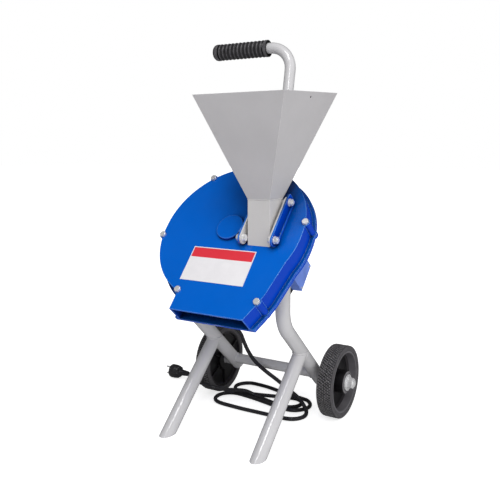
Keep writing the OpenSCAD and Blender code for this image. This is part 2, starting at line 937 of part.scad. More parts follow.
// Four-sided funnel form, inset by the sheet's thickness for its inside
module hopper_form(inset) {
    w = neck_w / 2 - inset;
    l = neck_l / 2 - inset;
    wt = w + flare_x * hopper_h;
    lt = l + flare_y * hopper_h;
    polyhedron(
        points = [
            [-w, -l, 0], [w, -l, 0], [w, l, 0], [-w, l, 0],
            [-wt, -lt, hopper_h], [wt, -lt, hopper_h], [wt, lt, hopper_h], [-wt, lt, hopper_h]
        ],
        faces = [[0, 1, 2, 3], [7, 6, 5, 4], [4, 5, 1, 0], [5, 6, 2, 1], [6, 7, 3, 2], [7, 4, 0, 3]]
    );
}

// Straight pyramid of sheet, its rim cut on a slight tilt
module hopper() {
    place(grey_sheet)
        difference() {
            translate([neck_x, neck_y, neck_z]) {
                difference() {
                    hopper_form(0);
                    hopper_form(sheet_t);
                }
            }
            translate([neck_x, neck_y - neck_l / 2 - flare_y * hopper_rise, neck_z + hopper_rise])
                rotate([rim_tilt, 0, 0])
                    translate([-cut_w / 2, -cut_w / 2, 0])
                        cube([cut_w, cut_l, cut_h]);
            translate([neck_x, neck_y, neck_z + hopper_rise - 5])
                rod_x(60, 3.6, 100);
        }
}

// Side plate's outline: a full round at its lower end and a round corner at its upper end
module ear_outline(low, high, out, r) {
    translate([low + out / 2, out / 2])
        circle(d = out);
    translate([low + out / 2, 0])
        square([high - r - low - out / 2, out]);
    translate([high - r - 1, 0])
        square([r + 1, out - r]);
    translate([high - r, out - r])
        circle(r = r);
}

module chute_holes(d) {
    for (p = chute_pts)
        translate([0, p[0], p[1]])
            rod_x(-200, d, 400);
}

module feed_neck() {
    place("#BEBCBA")
        difference() {
            union() {
                difference() {
                    translate([neck_x - neck_w / 2, neck_y - neck_l / 2, boss_h - 70])
                        cube([neck_w, neck_l, neck_top + 70]);
                    translate([neck_x - neck_w / 2 + sheet_t, neck_y - neck_l / 2 + sheet_t, boss_h - 80])
                        cube([neck_w - 2 * sheet_t, neck_l - 2 * sheet_t, neck_top + 90]);
                }
                on_plate()
                    difference() {
                        for (side = [-1, 1]) {
                            side_plate(neck_x + side * (ear_x + ear_t / 2) - ear_t / 2, ear_t)
                                translate([0, 0.4])
                                    ear_outline(ear_low, ear_high, ear_out - 0.4, 5);
                            side_plate(neck_x + side * (ear_x - ear_gap / 2) - strip_l / 2, strip_l)
                                translate([0, 2])
                                    square([strip_run, strip_w]);
                        }
                        chute_holes(chute_bolt_d + 2 * bolt_gap);
                    }
            }
            on_plate()
                translate([-cut_w / 2, -cut_l / 2, -cut_h])
                    cube([cut_w, cut_l, cut_h]);
        }
}

module chute_bracket(side) {
    place(blue)
        on_plate()
            difference() {
                side_plate(neck_x + side * (bracket_x + bracket_t / 2) - bracket_t / 2, bracket_t)
                    ear_outline(bracket_low, bracket_high, bracket_out, 9);
                chute_holes(chute_bolt_d + 2 * bolt_gap);
            }
}

module chute_bracket_left() {
    chute_bracket(-1);
}

module chute_bracket_right() {
    chute_bracket(1);
}

// Bolt through a clamped stack, with a washer under its head and under its nut
module stack_bolt(d, af, stack) {
    head_h = 0.65 * d;
    nut_h = 0.8 * d;
    translate([0, 0, bolt_washer_t])
        intersection() {
            hex(af, head_h);
            cylinder(d1 = 2.4 * af, d2 = af, h = head_h);
        }
    translate([0, 0, -stack - bolt_washer_t - nut_h - bolt_tail])
        cylinder(d = d, h = stack + 2 * bolt_washer_t + nut_h + bolt_tail);
    difference() {
        union() {
            cylinder(d = 2.1 * d, h = bolt_washer_t);
            translate([0, 0, -stack - bolt_washer_t])
                cylinder(d = 2.1 * d, h = bolt_washer_t);
            translate([0, 0, -stack - bolt_washer_t - nut_h])
                intersection() {
                    hex(af, nut_h);
                    cylinder(d1 = af, d2 = 2.4 * af, h = nut_h);
                }
        }
        translate([0, 0, -stack - 2 * d])
            cylinder(d = d + 2 * seat_gap, h = stack + 3 * d);
    }
}

// The heads are inside the ears, the nuts outside the brackets
module chute_bolts() {
    place(zinc)
        on_plate()
            for (side = [-1, 1], p = chute_pts)
                translate([neck_x + side * ear_x, p[0], p[1]])
                    rotate([0, -side * 90, 0])
                        stack_bolt(chute_bolt_d, chute_bolt_af, bracket_t + ear_t);
}

module handle_holes(d) {
    for (s = [handle_len - 60, handle_len - 20])
        translate([handle_x, handle_at(s)[0], handle_at(s)[1]])
            rod_x(-60, d, 120);
}

// Two cheeks welded to the back of the rear plate
module handle_bracket() {
    place(blue)
        on_plate()
            difference() {
                for (side = [-1, 1])
                    side_plate(handle_x + side * (cheek_x + cheek_t / 2) - cheek_t / 2, cheek_t)
                        polygon([
                            [cheek_low, -back],
                            handle_at(handle_len + 6, -4),
                            handle_at(handle_len + 6, 8),
                            handle_at(handle_len, 14),
                            handle_at(handle_len - 80, 14),
                            handle_at(handle_len - 86, 8),
                            [cheek_high, -back]
                        ]);
                handle_holes(handle_bolt_d + 2 * bolt_gap);
            }
}

module handle_line(r, more) {
    translate([0, -handle_len - more, 0])
        rotate([-90, 0, 0])
            cylinder(r = r, h = handle_len - handle_bend + more);
    translate([-handle_bend, -handle_bend, 0])
        rotate_extrude(angle = 90)
            translate([handle_bend, 0])
                circle(r = r);
    translate([-handle_bend, 0, 0])
        rotate([0, -90, 0])
            cylinder(r = r, h = grip_start + grip_len - 10 - handle_bend + more);
}

module on_handle() {
    translate([handle_x, grip_back - boss_reach, boss_h + grip_h])
        rotate([90 - handle_tilt, 0, 0])
            children();
}

module handle_tube() {
    place(grey_tube)
        difference() {
            on_handle()
                difference() {
                    handle_line(handle_d / 2, 0);
                    handle_line(handle_d / 2 - handle_wall, 1);
                }
            on_plate()
                handle_holes(handle_bolt_d + 2 * bolt_gap);
        }
}

module handle_bolts() {
    place(zinc)
        on_plate()
            for (s = [handle_len - 60, handle_len - 20])
                translate([handle_x + cheek_x + cheek_t, handle_at(s)[0], handle_at(s)[1]])
                    rotate([0, 90, 0])
                        stack_bolt(handle_bolt_d, handle_bolt_af, 2 * cheek_x + 2 * cheek_t);
}

// Closed rubber sleeve with rounded ribs
module handle_grip() {
    r = grip_d / 2;
    low = r - grip_rib;
    pitch = (grip_len - 26) / grip_ribs;
    place(black)
        on_handle()
            rotate([0, -90, 0])
                translate([0, 0, grip_start])
                    rotate_extrude()
                        polygon(concat(
                            [[handle_d / 2 + seat_gap, 0], [r - 1.2, 0], [r, 1.2], [r, 7], [low, 9]],
                            [
                                for (i = [0 : grip_ribs - 1], k = [1 : 5])
                                    [low + grip_rib * sin(k * 30), 9 + pitch * (i + 0.12 + 0.76 * k / 6)]
                            ],
                            [
                                [low, grip_len - 17], [r, grip_len - 15], [r, grip_len - 9],
                                [r - 1.2, grip_len - 5], [r - 4, grip_len - 1.8], [r - 8, grip_len - 0.4],
                                [0, grip_len], [0, grip_len - 9], [handle_d / 2 + seat_gap, grip_len - 9]
                            ]
                        ));
}

module motor_flange() {
    place(cast_grey)
        on_plate()
            difference() {
                union() {
                    translate([0, 0, -shield_back])
                        cylinder(r = flange_r, h = shield_t);
                    translate([0, 0, -bearing_at - bearing_w])
                        cylinder(d = bearing_d + 16, h = bearing_w);
                }
                translate([0, 0, -bearing_at - bearing_w - 1])
                    cylinder(d = bearing_d + 2 * seat_gap, h = bearing_w + 1);
                translate([0, 0, -shield_back])
                    cylinder(d = 38, h = shield_t + 1);
                motor_holes(motor_bolt_d + 2 * bolt_gap);
            }
}

// Flange bolts, rear shield screws and cowl screws
module motor_bolts() {
    place(zinc)
        on_plate() {
            for (a = [45 : 90 : 315])
                rotate([0, 0, a])
                    translate([motor_ring, 0, -shield_back])
                        rotate([180, 0, 0])
                            difference() {
                                union() {
                                    cylinder(d = 10, h = 6);
                                    translate([0, 0, -shield_t - rear_t + 0.5])
                                        cylinder(d = motor_bolt_d, h = shield_t + rear_t);
                                }
                                translate([0, 0, 3])
                                    hex(5, 4);
                            }
            for (a = [45 : 90 : 315])
                rotate([0, 0, a])
                    translate([motor_r - motor_wall / 2, 0, -motor_back - rear_shield_t])
                        rotate([180, 0, 0]) {
                            cylinder(d = 8, h = 3.5);
                            translate([0, 0, -rear_shield_t - 10])
                                cylinder(d = 4, h = rear_shield_t + 11);
                        }
            for (a = cowl_screws)
                rotate([0, 0, a])
                    translate([motor_r + 2.4 + cowl_t, 0, -motor_back - 6])
                        rotate([0, 90, 0]) {
                            cylinder(d1 = 8, d2 = 6, h = 2.4);
                            translate([0, 0, -8])
                                cylinder(d = 4, h = 9);
                        }
        }
}

module motor_housing() {
    place(blue)
        on_plate()
            difference() {
                union() {
                    translate([0, 0, -motor_back])
                        cylinder(r = motor_r, h = motor_len);
                    for (i = [0 : fin_n - 1])
                        rotate([0, 0, 360 * (i + 0.5) / fin_n])
                            translate([motor_r - 2, -fin_t / 2, -motor_back + 5])
                                cube([fin_h + 2, fin_t, motor_len - 20]);
                    translate([0, 0, -gland_z])
                        rotate([0, 0, gland_angle])
                            translate([motor_r - 4, -13, -13])
                                cube([fin_h + 4, 26, 26]);
                }
                translate([0, 0, -motor_back - 1])
                    cylinder(r = motor_r - motor_wall, h = motor_len + 2);
                for (a = [45 : 90 : 315])
                    rotate([0, 0, a])
                        translate([motor_r - motor_wall / 2, 0, -motor_back - 1])
                            cylinder(d = 4 + 2 * seat_gap, h = 12);
            }
}

module stator_core() {
    place(steel)
        on_plate()
            translate([0, 0, -stator_end])
                difference() {
                    cylinder(r = motor_r - motor_wall - seat_gap, h = stator_len);
                    translate([0, 0, -1])
                        cylinder(r = stator_bore, h = stator_len + 2);
                }
}

module coil_ring(r1, r2, z, h) {
    translate([0, 0, z])
        rotate_extrude()
            polygon([
                [r1, 0], [r2, 0], [r2, h - 4], [r2 - 1.5, h - 1.2], [r2 - 4, h],
                [r1 + 4, h], [r1 + 1.5, h - 1.2], [r1, h - 4]
            ]);
}

module field_coils() {
    place(copper)
        on_plate() {
            coil_ring(stator_bore + 4, motor_r - motor_wall - 4, -stator_at, 15);
            mirror([0, 0, 1])
                coil_ring(stator_bore + 4, motor_r - motor_wall - 4, stator_end, 15);
        }
}

module rear_shield() {
    place(cast_grey)
        on_plate()
            difference() {
                union() {
                    translate([0, 0, -motor_back - rear_shield_t])
                        cylinder(r = motor_r + 2.3, h = rear_shield_t);
                    translate([0, 0, -rear_bearing_at - bearing_rear_w - 2])
                        cylinder(d = bearing_rear_d + 12, h = bearing_rear_w);
                }
                translate([0, 0, -rear_bearing_at - bearing_rear_w])
                    cylinder(d = bearing_rear_d + 2 * seat_gap, h = bearing_rear_w + 2);
                translate([0, 0, -rear_bearing_at - bearing_rear_w - 3])
                    cylinder(d = bearing_rear_d - 12, h = 5);
                for (a = [45 : 90 : 315])
                    rotate([0, 0, a])
                        translate([motor_r - motor_wall / 2, 0, -motor_back - rear_shield_t - 1])
                            cylinder(d = 4 + 2 * seat_gap, h = rear_shield_t + 2);
                for (a = cowl_screws)
                    rotate([0, 0, a])
                        translate([motor_r - 8, 0, -motor_back - 6])
                            rod_x(0, 4 + 2 * seat_gap, 20);
            }
}

module bearing(d1, d2, w) {
    m = (d1 + d2) / 4;
    rotate_extrude()
        difference() {
            translate([d1 / 2, 0])
                square([(d2 - d1) / 2, w]);
            for (z = [-1, w - 0.8])
                translate([m - 2.5, z])
                    square([5, 1.8]);
        }
}

module front_bearing() {
    place(steel)
        on_plate()
            translate([0, 0, -bearing_at - bearing_w])
                bearing(shaft_d + 2 * run_gap, bearing_d, bearing_w);
}

module rear_bearing() {
    place(steel)
        on_plate()
            translate([0, 0, -rear_bearing_at - bearing_rear_w])
                bearing(shaft_rear_d + 2 * run_gap, bearing_rear_d, bearing_rear_w);
}

module brush_holders() {
    place("#6B4A2F")
        on_plate()
            for (side = [-1, 1])
                difference() {
                    translate([side * (commutator_r + brush_l / 2) - brush_l / 2, -brush_w / 2, -motor_back])
                        cube([brush_l, brush_w, brush_h]);
                    translate([0, 0, -motor_back - 1])
                        cylinder(r = commutator_r + 1, h = brush_h + 2);
                }
}

module fan_cowl() {
    r = motor_r + 2.4;
    place(black)
        on_plate()
            difference() {
                translate([0, 0, -cowl_end])
                    rotate_extrude()
                        polygon([
                            [0, 0], [r - 6, 0], [r + cowl_t - 2, 2], [r + cowl_t, 8],
                            [r + cowl_t, cowl_len - 1], [r, cowl_len - 1], [r, 8.4], [r - 1.6, 3.2],
                            [r - 6.6, cowl_t], [0, cowl_t]
                        ]);
                for (i = [0 : slot_n - 1])
                    rotate([0, 0, 360 * (i + 0.5) / slot_n])
                        translate([22, -2.2, -cowl_end - 1])
                            cube([38, 4.4, 5]);
                for (a = cowl_screws)
                    rotate([0, 0, a])
                        translate([r - 3, 0, -motor_back - 6])
                            rod_x(0, 4 + 2 * bolt_gap, 8);
            }
}

module switch_box() {
    place(box_blue)
        on_plate()
            difference() {
                translate([box_in, box_low, -box_back])
                    cube([box_x - lid_t - box_in, box_high - box_low, box_len]);
                translate([0, 0, -box_back - 1])
                    cylinder(r = fin_r + 0.4, h = box_len + 2);
                difference() {
                    translate([box_mid - 8.5, box_low + box_wall, -box_back + box_wall])
                        cube([40, box_high - box_low - 2 * box_wall, box_len - 2 * box_wall]);
                    for (p = lid_pts)
                        translate([0, p[0], -p[1]])
                            rod_x(box_mid - 10, 8, 60);
                }
                for (p = lid_pts)
                    translate([0, p[0], -p[1]])
                        rod_x(box_x - lid_t - 12, 3 + 2 * seat_gap, 20);
                for (z = button_z)
                    translate([box_mid, box_high + 1, -z])
                        rotate([90, 0, 0])
                            cylinder(d = button_d + 2 * side_gap, h = box_wall + 2);
            }
}

module switch_box_lid() {
    place(box_blue)
        on_plate()
            difference() {
                translate([box_x - lid_t, box_low, -box_back])
                    cube([lid_t, box_high - box_low, box_len]);
                for (p = lid_pts)
                    translate([0, p[0], -p[1]])
                        rod_x(box_x - lid_t - 1, 3 + 2 * bolt_gap, lid_t + 2);
            }
}

module lid_screws() {
    place(zinc)
        on_plate()
            for (p = lid_pts)
                translate([box_x, p[0], -p[1]])
                    rotate([0, 90, 0])
                        difference() {
                            union() {
                                cylinder(d1 = 6, d2 = 4.4, h = 1.6);
                                translate([0, 0, -lid_t - 8])
                                    cylinder(d = 3, h = lid_t + 9);
                            }
                            translate([-4, -0.4, 0.8])
                                cube([8, 0.8, 2]);
                            translate([-0.4, -4, 0.8])
                                cube([0.8, 8, 2]);
                        }
}

module switch_block() {
    place(black)
        on_plate()
            translate([box_mid - block_w / 2, box_low + box_wall, -box_back + block_inset])
                cube([
                    block_w,
                    button_low - button_travel - 0.5 - box_low - box_wall,
                    box_len - 2 * block_inset
                ]);
}

// Push button with a collar that holds it under the box's top wall
module button(c, z) {
    place(c)
        on_plate()
            translate([box_mid, 0, -z])
                rotate([-90, 0, 0])
                    rotate_extrude()
                        polygon([
                            [0, button_low],
                            [button_d / 2 + 1, button_low],
                            [button_d / 2 + 1, box_high - box_wall - side_gap],
                            [button_d / 2, box_high - box_wall - side_gap],
                            [button_d / 2, button_face - 1.5],
                            [button_d / 2 - 1.5, button_face],
                            [0, button_face - 0.6]
                        ]);
}

module start_button() {
    button("#1E8B3C", button_z[0]);
}

module stop_button() {
    button("#C8202C", button_z[1]);
}

// Hexagon gland with a tapered bend relief
module cable_gland() {
    place(black)
        on_plate()
            translate([0, 0, -gland_z])
                rotate([0, 0, gland_angle])
                    rotate([0, 90, 0])
                        translate([0, 0, fin_r]) {
                            cylinder(d = 24, h = 2.2);
                            translate([0, 0, 2.2])
                                hex(19, 7);
                            translate([0, 0, 9.2])
                                cylinder(d1 = 17, d2 = cord_d + 2, h = gland_len - 9);
                        }
}

module power_cord() {
    p = smooth(cord_pts, cord_steps);
    n = len(p);
    s = cord_sides;
    fine = smooth(cord_pts, 6);
    gap = min([
        for (i = [0 : 2 : len(fine) - 1], j = [i + 14 : len(fine) - 1])
            norm(fine[i] - fine[j])
    ]) - cord_d;
    length = [for (i = [1 : len(fine) - 1]) norm(fine[i] - fine[i - 1])] * [for (i = [1 : len(fine) - 1]) 1];
    echo(least_cord_gap = gap, cord_length = length, cord_start = cord_start, shift_y = shift_y);
    place(black)
        polyhedron(
            points = [for (i = [0 : n - 1]) each ring(p[i], along(p, i))],
            faces = concat(
                [[for (k = [0 : s - 1]) k]],
                [
                    for (i = [0 : n - 2], k = [0 : s - 1])
                        each [
                            [i * s + k, (i + 1) * s + k, (i + 1) * s + (k + 1) % s],
                            [i * s + k, (i + 1) * s + (k + 1) % s, i * s + (k + 1) % s]
                        ]
                ],
                [[for (k = [0 : s - 1]) n * s - 1 - k]]
            )
        );
}

module plug_body() {
    r = plug_d / 2;
    place(black)
        translate(plug_tail)
            rotate([0, -90, 0])
                rotate_extrude()
                    polygon([
                        [0, 0], [cord_d / 2 + 1.2, 0], [cord_d / 2 + 3, 22], [r - 8, 26], [r - 4, 30],
                        [r - 2, 36], [r, 42], [r, 56], [r - 1, 58], [0, 58]
                    ]);
}

module plug_pins() {
    place(zinc)
        translate(plug_tail)
            rotate([0, -90, 0])
                for (side = [-1, 1])
                    translate([side * 9.5, 0, 58]) {
                        cylinder(d = 4.8, h = 17.5);
                        translate([0, 0, 17.5])
                            cylinder(d1 = 4.8, d2 = 2.6, h = 1.5);
                    }
}

module motor_shaft() {
    r = shaft_d / 2;
    rr = shaft_rear_d / 2;
    place(steel)
        on_plate()
            rotate_extrude()
                polygon([
                    [0, -shaft_end],
                    [rr - 2.5, -shaft_end],
                    [rr - 1.5, -shaft_end + 1],
                    [rr - 1.5, -rear_bearing_at - bearing_rear_w],
                    [rr, -rear_bearing_at - bearing_rear_w],
                    [rr, -rear_bearing_at + side_gap],
                    [r, -rear_bearing_at + side_gap],
                    [r, -stator_at + 8],
                    [r + 2, -stator_at + 8],
                    [r + 2, -bearing_at - bearing_w - side_gap],
                    [r, -bearing_at - bearing_w - side_gap],
                    [r, -disc_at],
                    [nose_d / 2, -disc_at],
                    [nose_d / 2, -0.5],
                    [nose_d / 2 - 1.5, 1],
                    [0, 1]
                ]);
}

module on_shaft(r1, r2, z, h) {
    translate([0, 0, z])
        difference() {
            cylinder(r = r2, h = h);
            translate([0, 0, -1])
                cylinder(r = r1, h = h + 2);
        }
}

module armature_core() {
    place(steel)
        on_plate()
            on_shaft(shaft_d / 2 + seat_gap, stator_bore - 0.8, -stator_end + 2, stator_len - 4);
}

module armature_windings() {
    place(copper)
        on_plate() {
            coil_ring(shaft_d / 2 + 3, stator_bore - 4, -stator_at - 2, 8);
            mirror([0, 0, 1])
                coil_ring(shaft_d / 2 + 3, stator_bore - 4, stator_end - 2, 9);
        }
}

module commutator() {
    place(copper)
        on_plate()
            on_shaft(shaft_d / 2 + seat_gap, commutator_r, -motor_back + 1, commutator_l);
}

module cooling_fan() {
    r = shaft_rear_d / 2 - 1.5;
    place(black)
        on_plate()
            difference() {
                translate([0, 0, -fan_at - fan_w])
                    union() {
                        cylinder(r = fan_hub_r, h = fan_w);
                        translate([0, 0, fan_w - fan_t])
                            cylinder(r = fan_r, h = fan_t);
                        for (i = [0 : 7])
                            rotate([0, 0, 45 * i])
                                translate([fan_hub_r - 2, -fan_t / 2, 1])
                                    cube([fan_r - fan_hub_r + 1, fan_t, fan_w - fan_t - 0.5]);
                    }
                translate([0, 0, -fan_at - fan_w - 1])
                    cylinder(r = r + seat_gap, h = fan_w + 4);
            }
}

module knife_turns() {
    for (a = [20, 200])
        rotate([0, 0, a])
            children();
}

// Disc with a hub sleeve that reaches back to the front bearing
module knife_disc() {
    place(steel)
        on_plate()
            difference() {
                union() {
                    translate([0, 0, -disc_back])
                        cylinder(r = disc_r, h = disc_t);
                    translate([0, 0, -case_depth + 2])
                        cylinder(r = 28, h = case_depth - 2 - disc_back + 1);
                    translate([0, 0, -bearing_at + side_gap])
                        cylinder(d = 32, h = bearing_at - side_gap - case_depth + 3);
                }
                translate([0, 0, -bearing_at - 1])
                    cylinder(d = shaft_d + 2 * seat_gap, h = bearing_at);
                knife_turns() {
                    translate([knife_in + 2, 17, -disc_back - 1])
                        cube([knife_len - 4, 14, disc_t + 2]);
                    for (x = knife_screws_x)
                        translate([x, 0, -disc_back - 1])
                            cylinder(d = 8 + 2 * seat_gap, h = disc_t + 2);
                }
            }
}

module disc_knives() {
    place(zinc)
        on_plate()
            knife_turns()
                difference() {
                    translate([knife_in, 0, -disc_at])
                        rotate([90, 0, 90])
                            linear_extrude(height = knife_len)
                                polygon([[-16, 0], [16, 0], [24, knife_t], [-16, knife_t]]);
                    for (x = knife_screws_x) {
                        translate([x, 0, -disc_at - 1])
                            cylinder(d = 8 + 2 * bolt_gap, h = knife_t + 2);
                        translate([x, 0, -disc_at + knife_t - 4.5])
                            cylinder(d1 = 8.6, d2 = 18.6, h = 5);
                    }
                }
}

module knife_screws() {
    place(black)
        on_plate()
            knife_turns()
                for (x = knife_screws_x)
                    translate([x, 0, -disc_at + knife_t - 4.5])
                        difference() {
                            union() {
                                cylinder(d1 = 8, d2 = 16.6, h = 4.3);
                                translate([0, 0, -disc_t - knife_t + 5])
                                    cylinder(d = 8, h = disc_t + knife_t - 4);
                            }
                            translate([0, 0, 2])
                                hex(5, 4);
                        }
}

module throw_paddles() {
    place(steel)
        on_plate()
            for (a = [65 : 90 : 335])
                rotate([0, 0, a])
                    translate([paddle_in, -paddle_t / 2, -disc_back - paddle_h])
                        cube([disc_r - 5 - paddle_in, paddle_t, paddle_h]);
}

module disc_nut() {
    place(zinc)
        on_plate()
            difference() {
                union() {
                    translate([0, 0, -disc_at])
                        cylinder(d = 40, h = 3);
                    translate([0, 0, -disc_at + 3])
                        hex(30, 14);
                }
                translate([0, 0, -disc_at - 1])
                    cylinder(d = nose_d + 2 * seat_gap, h = 30);
            }
}

main_tube_left();
main_tube_right();
leg_left();
leg_right();
crossbar();
axle_left();
axle_right();
axle_fittings();
wheel_rim_left();
wheel_rim_right();
tyre_left();
tyre_right();
rear_plate();
front_casing();
boss_cap();
cover_bolts();
label_plate();
counter_knife();
counter_screws();
shaft_seal();
hopper();
feed_neck();
chute_bracket_left();
chute_bracket_right();
chute_bolts();
handle_bracket();
handle_tube();
handle_bolts();
handle_grip();
motor_flange();
motor_bolts();
motor_housing();
stator_core();
field_coils();
rear_shield();
front_bearing();
rear_bearing();
brush_holders();
fan_cowl();
switch_box();
switch_box_lid();
lid_screws();
switch_block();
start_button();
stop_button();
cable_gland();
power_cord();
plug_body();
plug_pins();
motor_shaft();
armature_core();
armature_windings();
commutator();
cooling_fan();
knife_disc();
disc_knives();
knife_screws();
throw_paddles();
disc_nut();
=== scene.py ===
import json
import math

import bmesh
import bpy
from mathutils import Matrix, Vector, noise


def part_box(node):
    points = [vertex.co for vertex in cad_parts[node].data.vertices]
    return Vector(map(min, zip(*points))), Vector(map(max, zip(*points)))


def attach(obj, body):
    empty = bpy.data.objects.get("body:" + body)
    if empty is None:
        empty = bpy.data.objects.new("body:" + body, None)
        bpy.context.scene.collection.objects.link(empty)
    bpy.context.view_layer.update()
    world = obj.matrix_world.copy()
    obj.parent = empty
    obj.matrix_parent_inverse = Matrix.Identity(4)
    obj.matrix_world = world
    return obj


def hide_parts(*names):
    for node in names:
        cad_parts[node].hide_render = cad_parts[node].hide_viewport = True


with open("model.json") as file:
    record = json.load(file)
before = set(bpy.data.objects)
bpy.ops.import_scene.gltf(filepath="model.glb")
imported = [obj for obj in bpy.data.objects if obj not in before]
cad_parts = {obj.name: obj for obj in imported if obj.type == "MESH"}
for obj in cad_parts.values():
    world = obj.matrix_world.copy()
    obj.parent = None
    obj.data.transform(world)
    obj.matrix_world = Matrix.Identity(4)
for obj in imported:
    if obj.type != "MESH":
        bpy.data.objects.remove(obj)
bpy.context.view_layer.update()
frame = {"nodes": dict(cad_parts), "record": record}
NODE = frame["nodes"]

# Sizes and places are in millimetres, from the floor under the middle of the axle, unless a comment says
# otherwise. Blender and the frame work in metres, and AXLE_Y is where the axle lies in the frame.
MM = 0.001
low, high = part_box("axle_left")
AXLE_Y = (low.y + high.y) / 2 / MM


def at(x, y, z):
    """The frame's point, in metres, for a place in millimetres."""
    return Vector((x * MM, (y + AXLE_Y) * MM, z * MM))


def corners_of(node):
    """A node's lowest and highest corners at rest, in millimetres."""
    return [corner / MM - Vector((0, AXLE_Y, 0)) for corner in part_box(node)]


# Wheels
low, high = corners_of("tyre_right")
TYRE_IN, TYRE_OUT = low.x, high.x
TYRE_R = (high.z - low.z) / 2
AXLE_Z = low.z + TYRE_R

# Frame tubes: the legs are cut from the same tube as the two main tubes
low, high = corners_of("leg_right")
TUBE_R = (high.x - low.x) / 2
TRACK_X = low.x + TUBE_R
TUBE_SLOPE = math.radians(42.8)
LEG_SLOPE = math.radians(42.6)
FOOT_Y = -302.0
POST_Y = -195.0
CROSSBAR_R = 12.5
CROSSBAR_UP = 22.0

# Cutting chamber: the middle of its tilted front plate is at the boss over the shaft, and its depth is from
# that plate's face to the back of the rear plate
TILT = math.radians(42)
SIN, COS = math.sin(TILT), math.cos(TILT)
BOSS_Y, BOSS_Z = -215.0, 481.0
CHAMBER_DEPTH = 50.0

# Feed neck and hopper, with a small hole in the hopper's right wall, past HOLE_X, drawn as a dark disc of
# painted shade
bracket_left, _ = corners_of("chute_bracket_left")
_, bracket_right = corners_of("chute_bracket_right")
NECK_X = (bracket_left.x + bracket_right.x) / 2
NECK_Y = -213.0
NECK_W, NECK_L = 54.0, 58.0
NECK_TOP = corners_of("hopper")[0].z
BRACKET_HALF = (bracket_right.x - bracket_left.x) / 2
HOLE_X, HOLE_Z, HOLE_R = 100.0, 760.0, 1.9

# Handle
low, high = corners_of("handle_grip")
GRIP_Y, GRIP_Z = (low.y + high.y) / 2, (low.z + high.z) / 2


def plate(u, v, w):
    """The frame's point for a place on the front plate: right, up the slope and out of the face."""
    return at(u, BOSS_Y + v * SIN - w * COS, BOSS_Z + v * COS + w * SIN)


# Camera at the photograph's place and angle
PHOTO_PX = 500
FOCAL_PX = 641.11
SENSOR_MM = 36
CAMERA_PLACE = (766.8, -1414.1, 654.8)
LOOK_DOWN = math.radians(8.90)
LOOK_LEFT = math.radians(30.89)
cam_data = bpy.data.cameras.new("camera")
cam_data.sensor_width = SENSOR_MM
cam_data.lens = FOCAL_PX / PHOTO_PX * SENSOR_MM
cam_data.clip_end = 50
cam = bpy.data.objects.new("camera", cam_data)
cam.location = at(*CAMERA_PLACE)
cam.rotation_euler = (math.radians(90) - LOOK_DOWN, 0, LOOK_LEFT)
bpy.context.scene.collection.objects.link(cam)
bpy.context.scene.camera = cam


# Colours
def linear(level):
    """The linear value of an 8-bit sRGB level."""
    c = level / 255
    return ((c + 0.055) / 1.055) ** 2.4 if level > 10 else c / 12.92


def lin(r, g, b):
    """A colour from its 8-bit sRGB levels."""
    return linear(r), linear(g), linear(b), 1


def tone(colour, share):
    """A colour made darker or lighter."""
    return tuple(min(1, c * share) for c in colour[:3]) + (1,)


# Materials, by their slot in the record
MAT = {}
# Places of the colour sockets in a mix node
MIX_SHARE, MIX_A, MIX_B, MIX_RESULT = 0, 6, 7, 2
# Where most of a noise lies, between 0 and 1
NOISE_LOW, NOISE_HIGH = 0.3, 0.7
# Cosines between the rounded and the plain normal, where the painted highlight along an edge starts and is
# full
HIGHLIGHT_START, HIGHLIGHT_FULL = 0.98, 0.88
BEVEL_SAMPLES = 4
RECESS_SAMPLES = 8
# How far around a point a recess is looked for, for the painted shade in it
RECESS_REACH = 120.0
# Width of the soft border between two colours
BLEND = 0.4


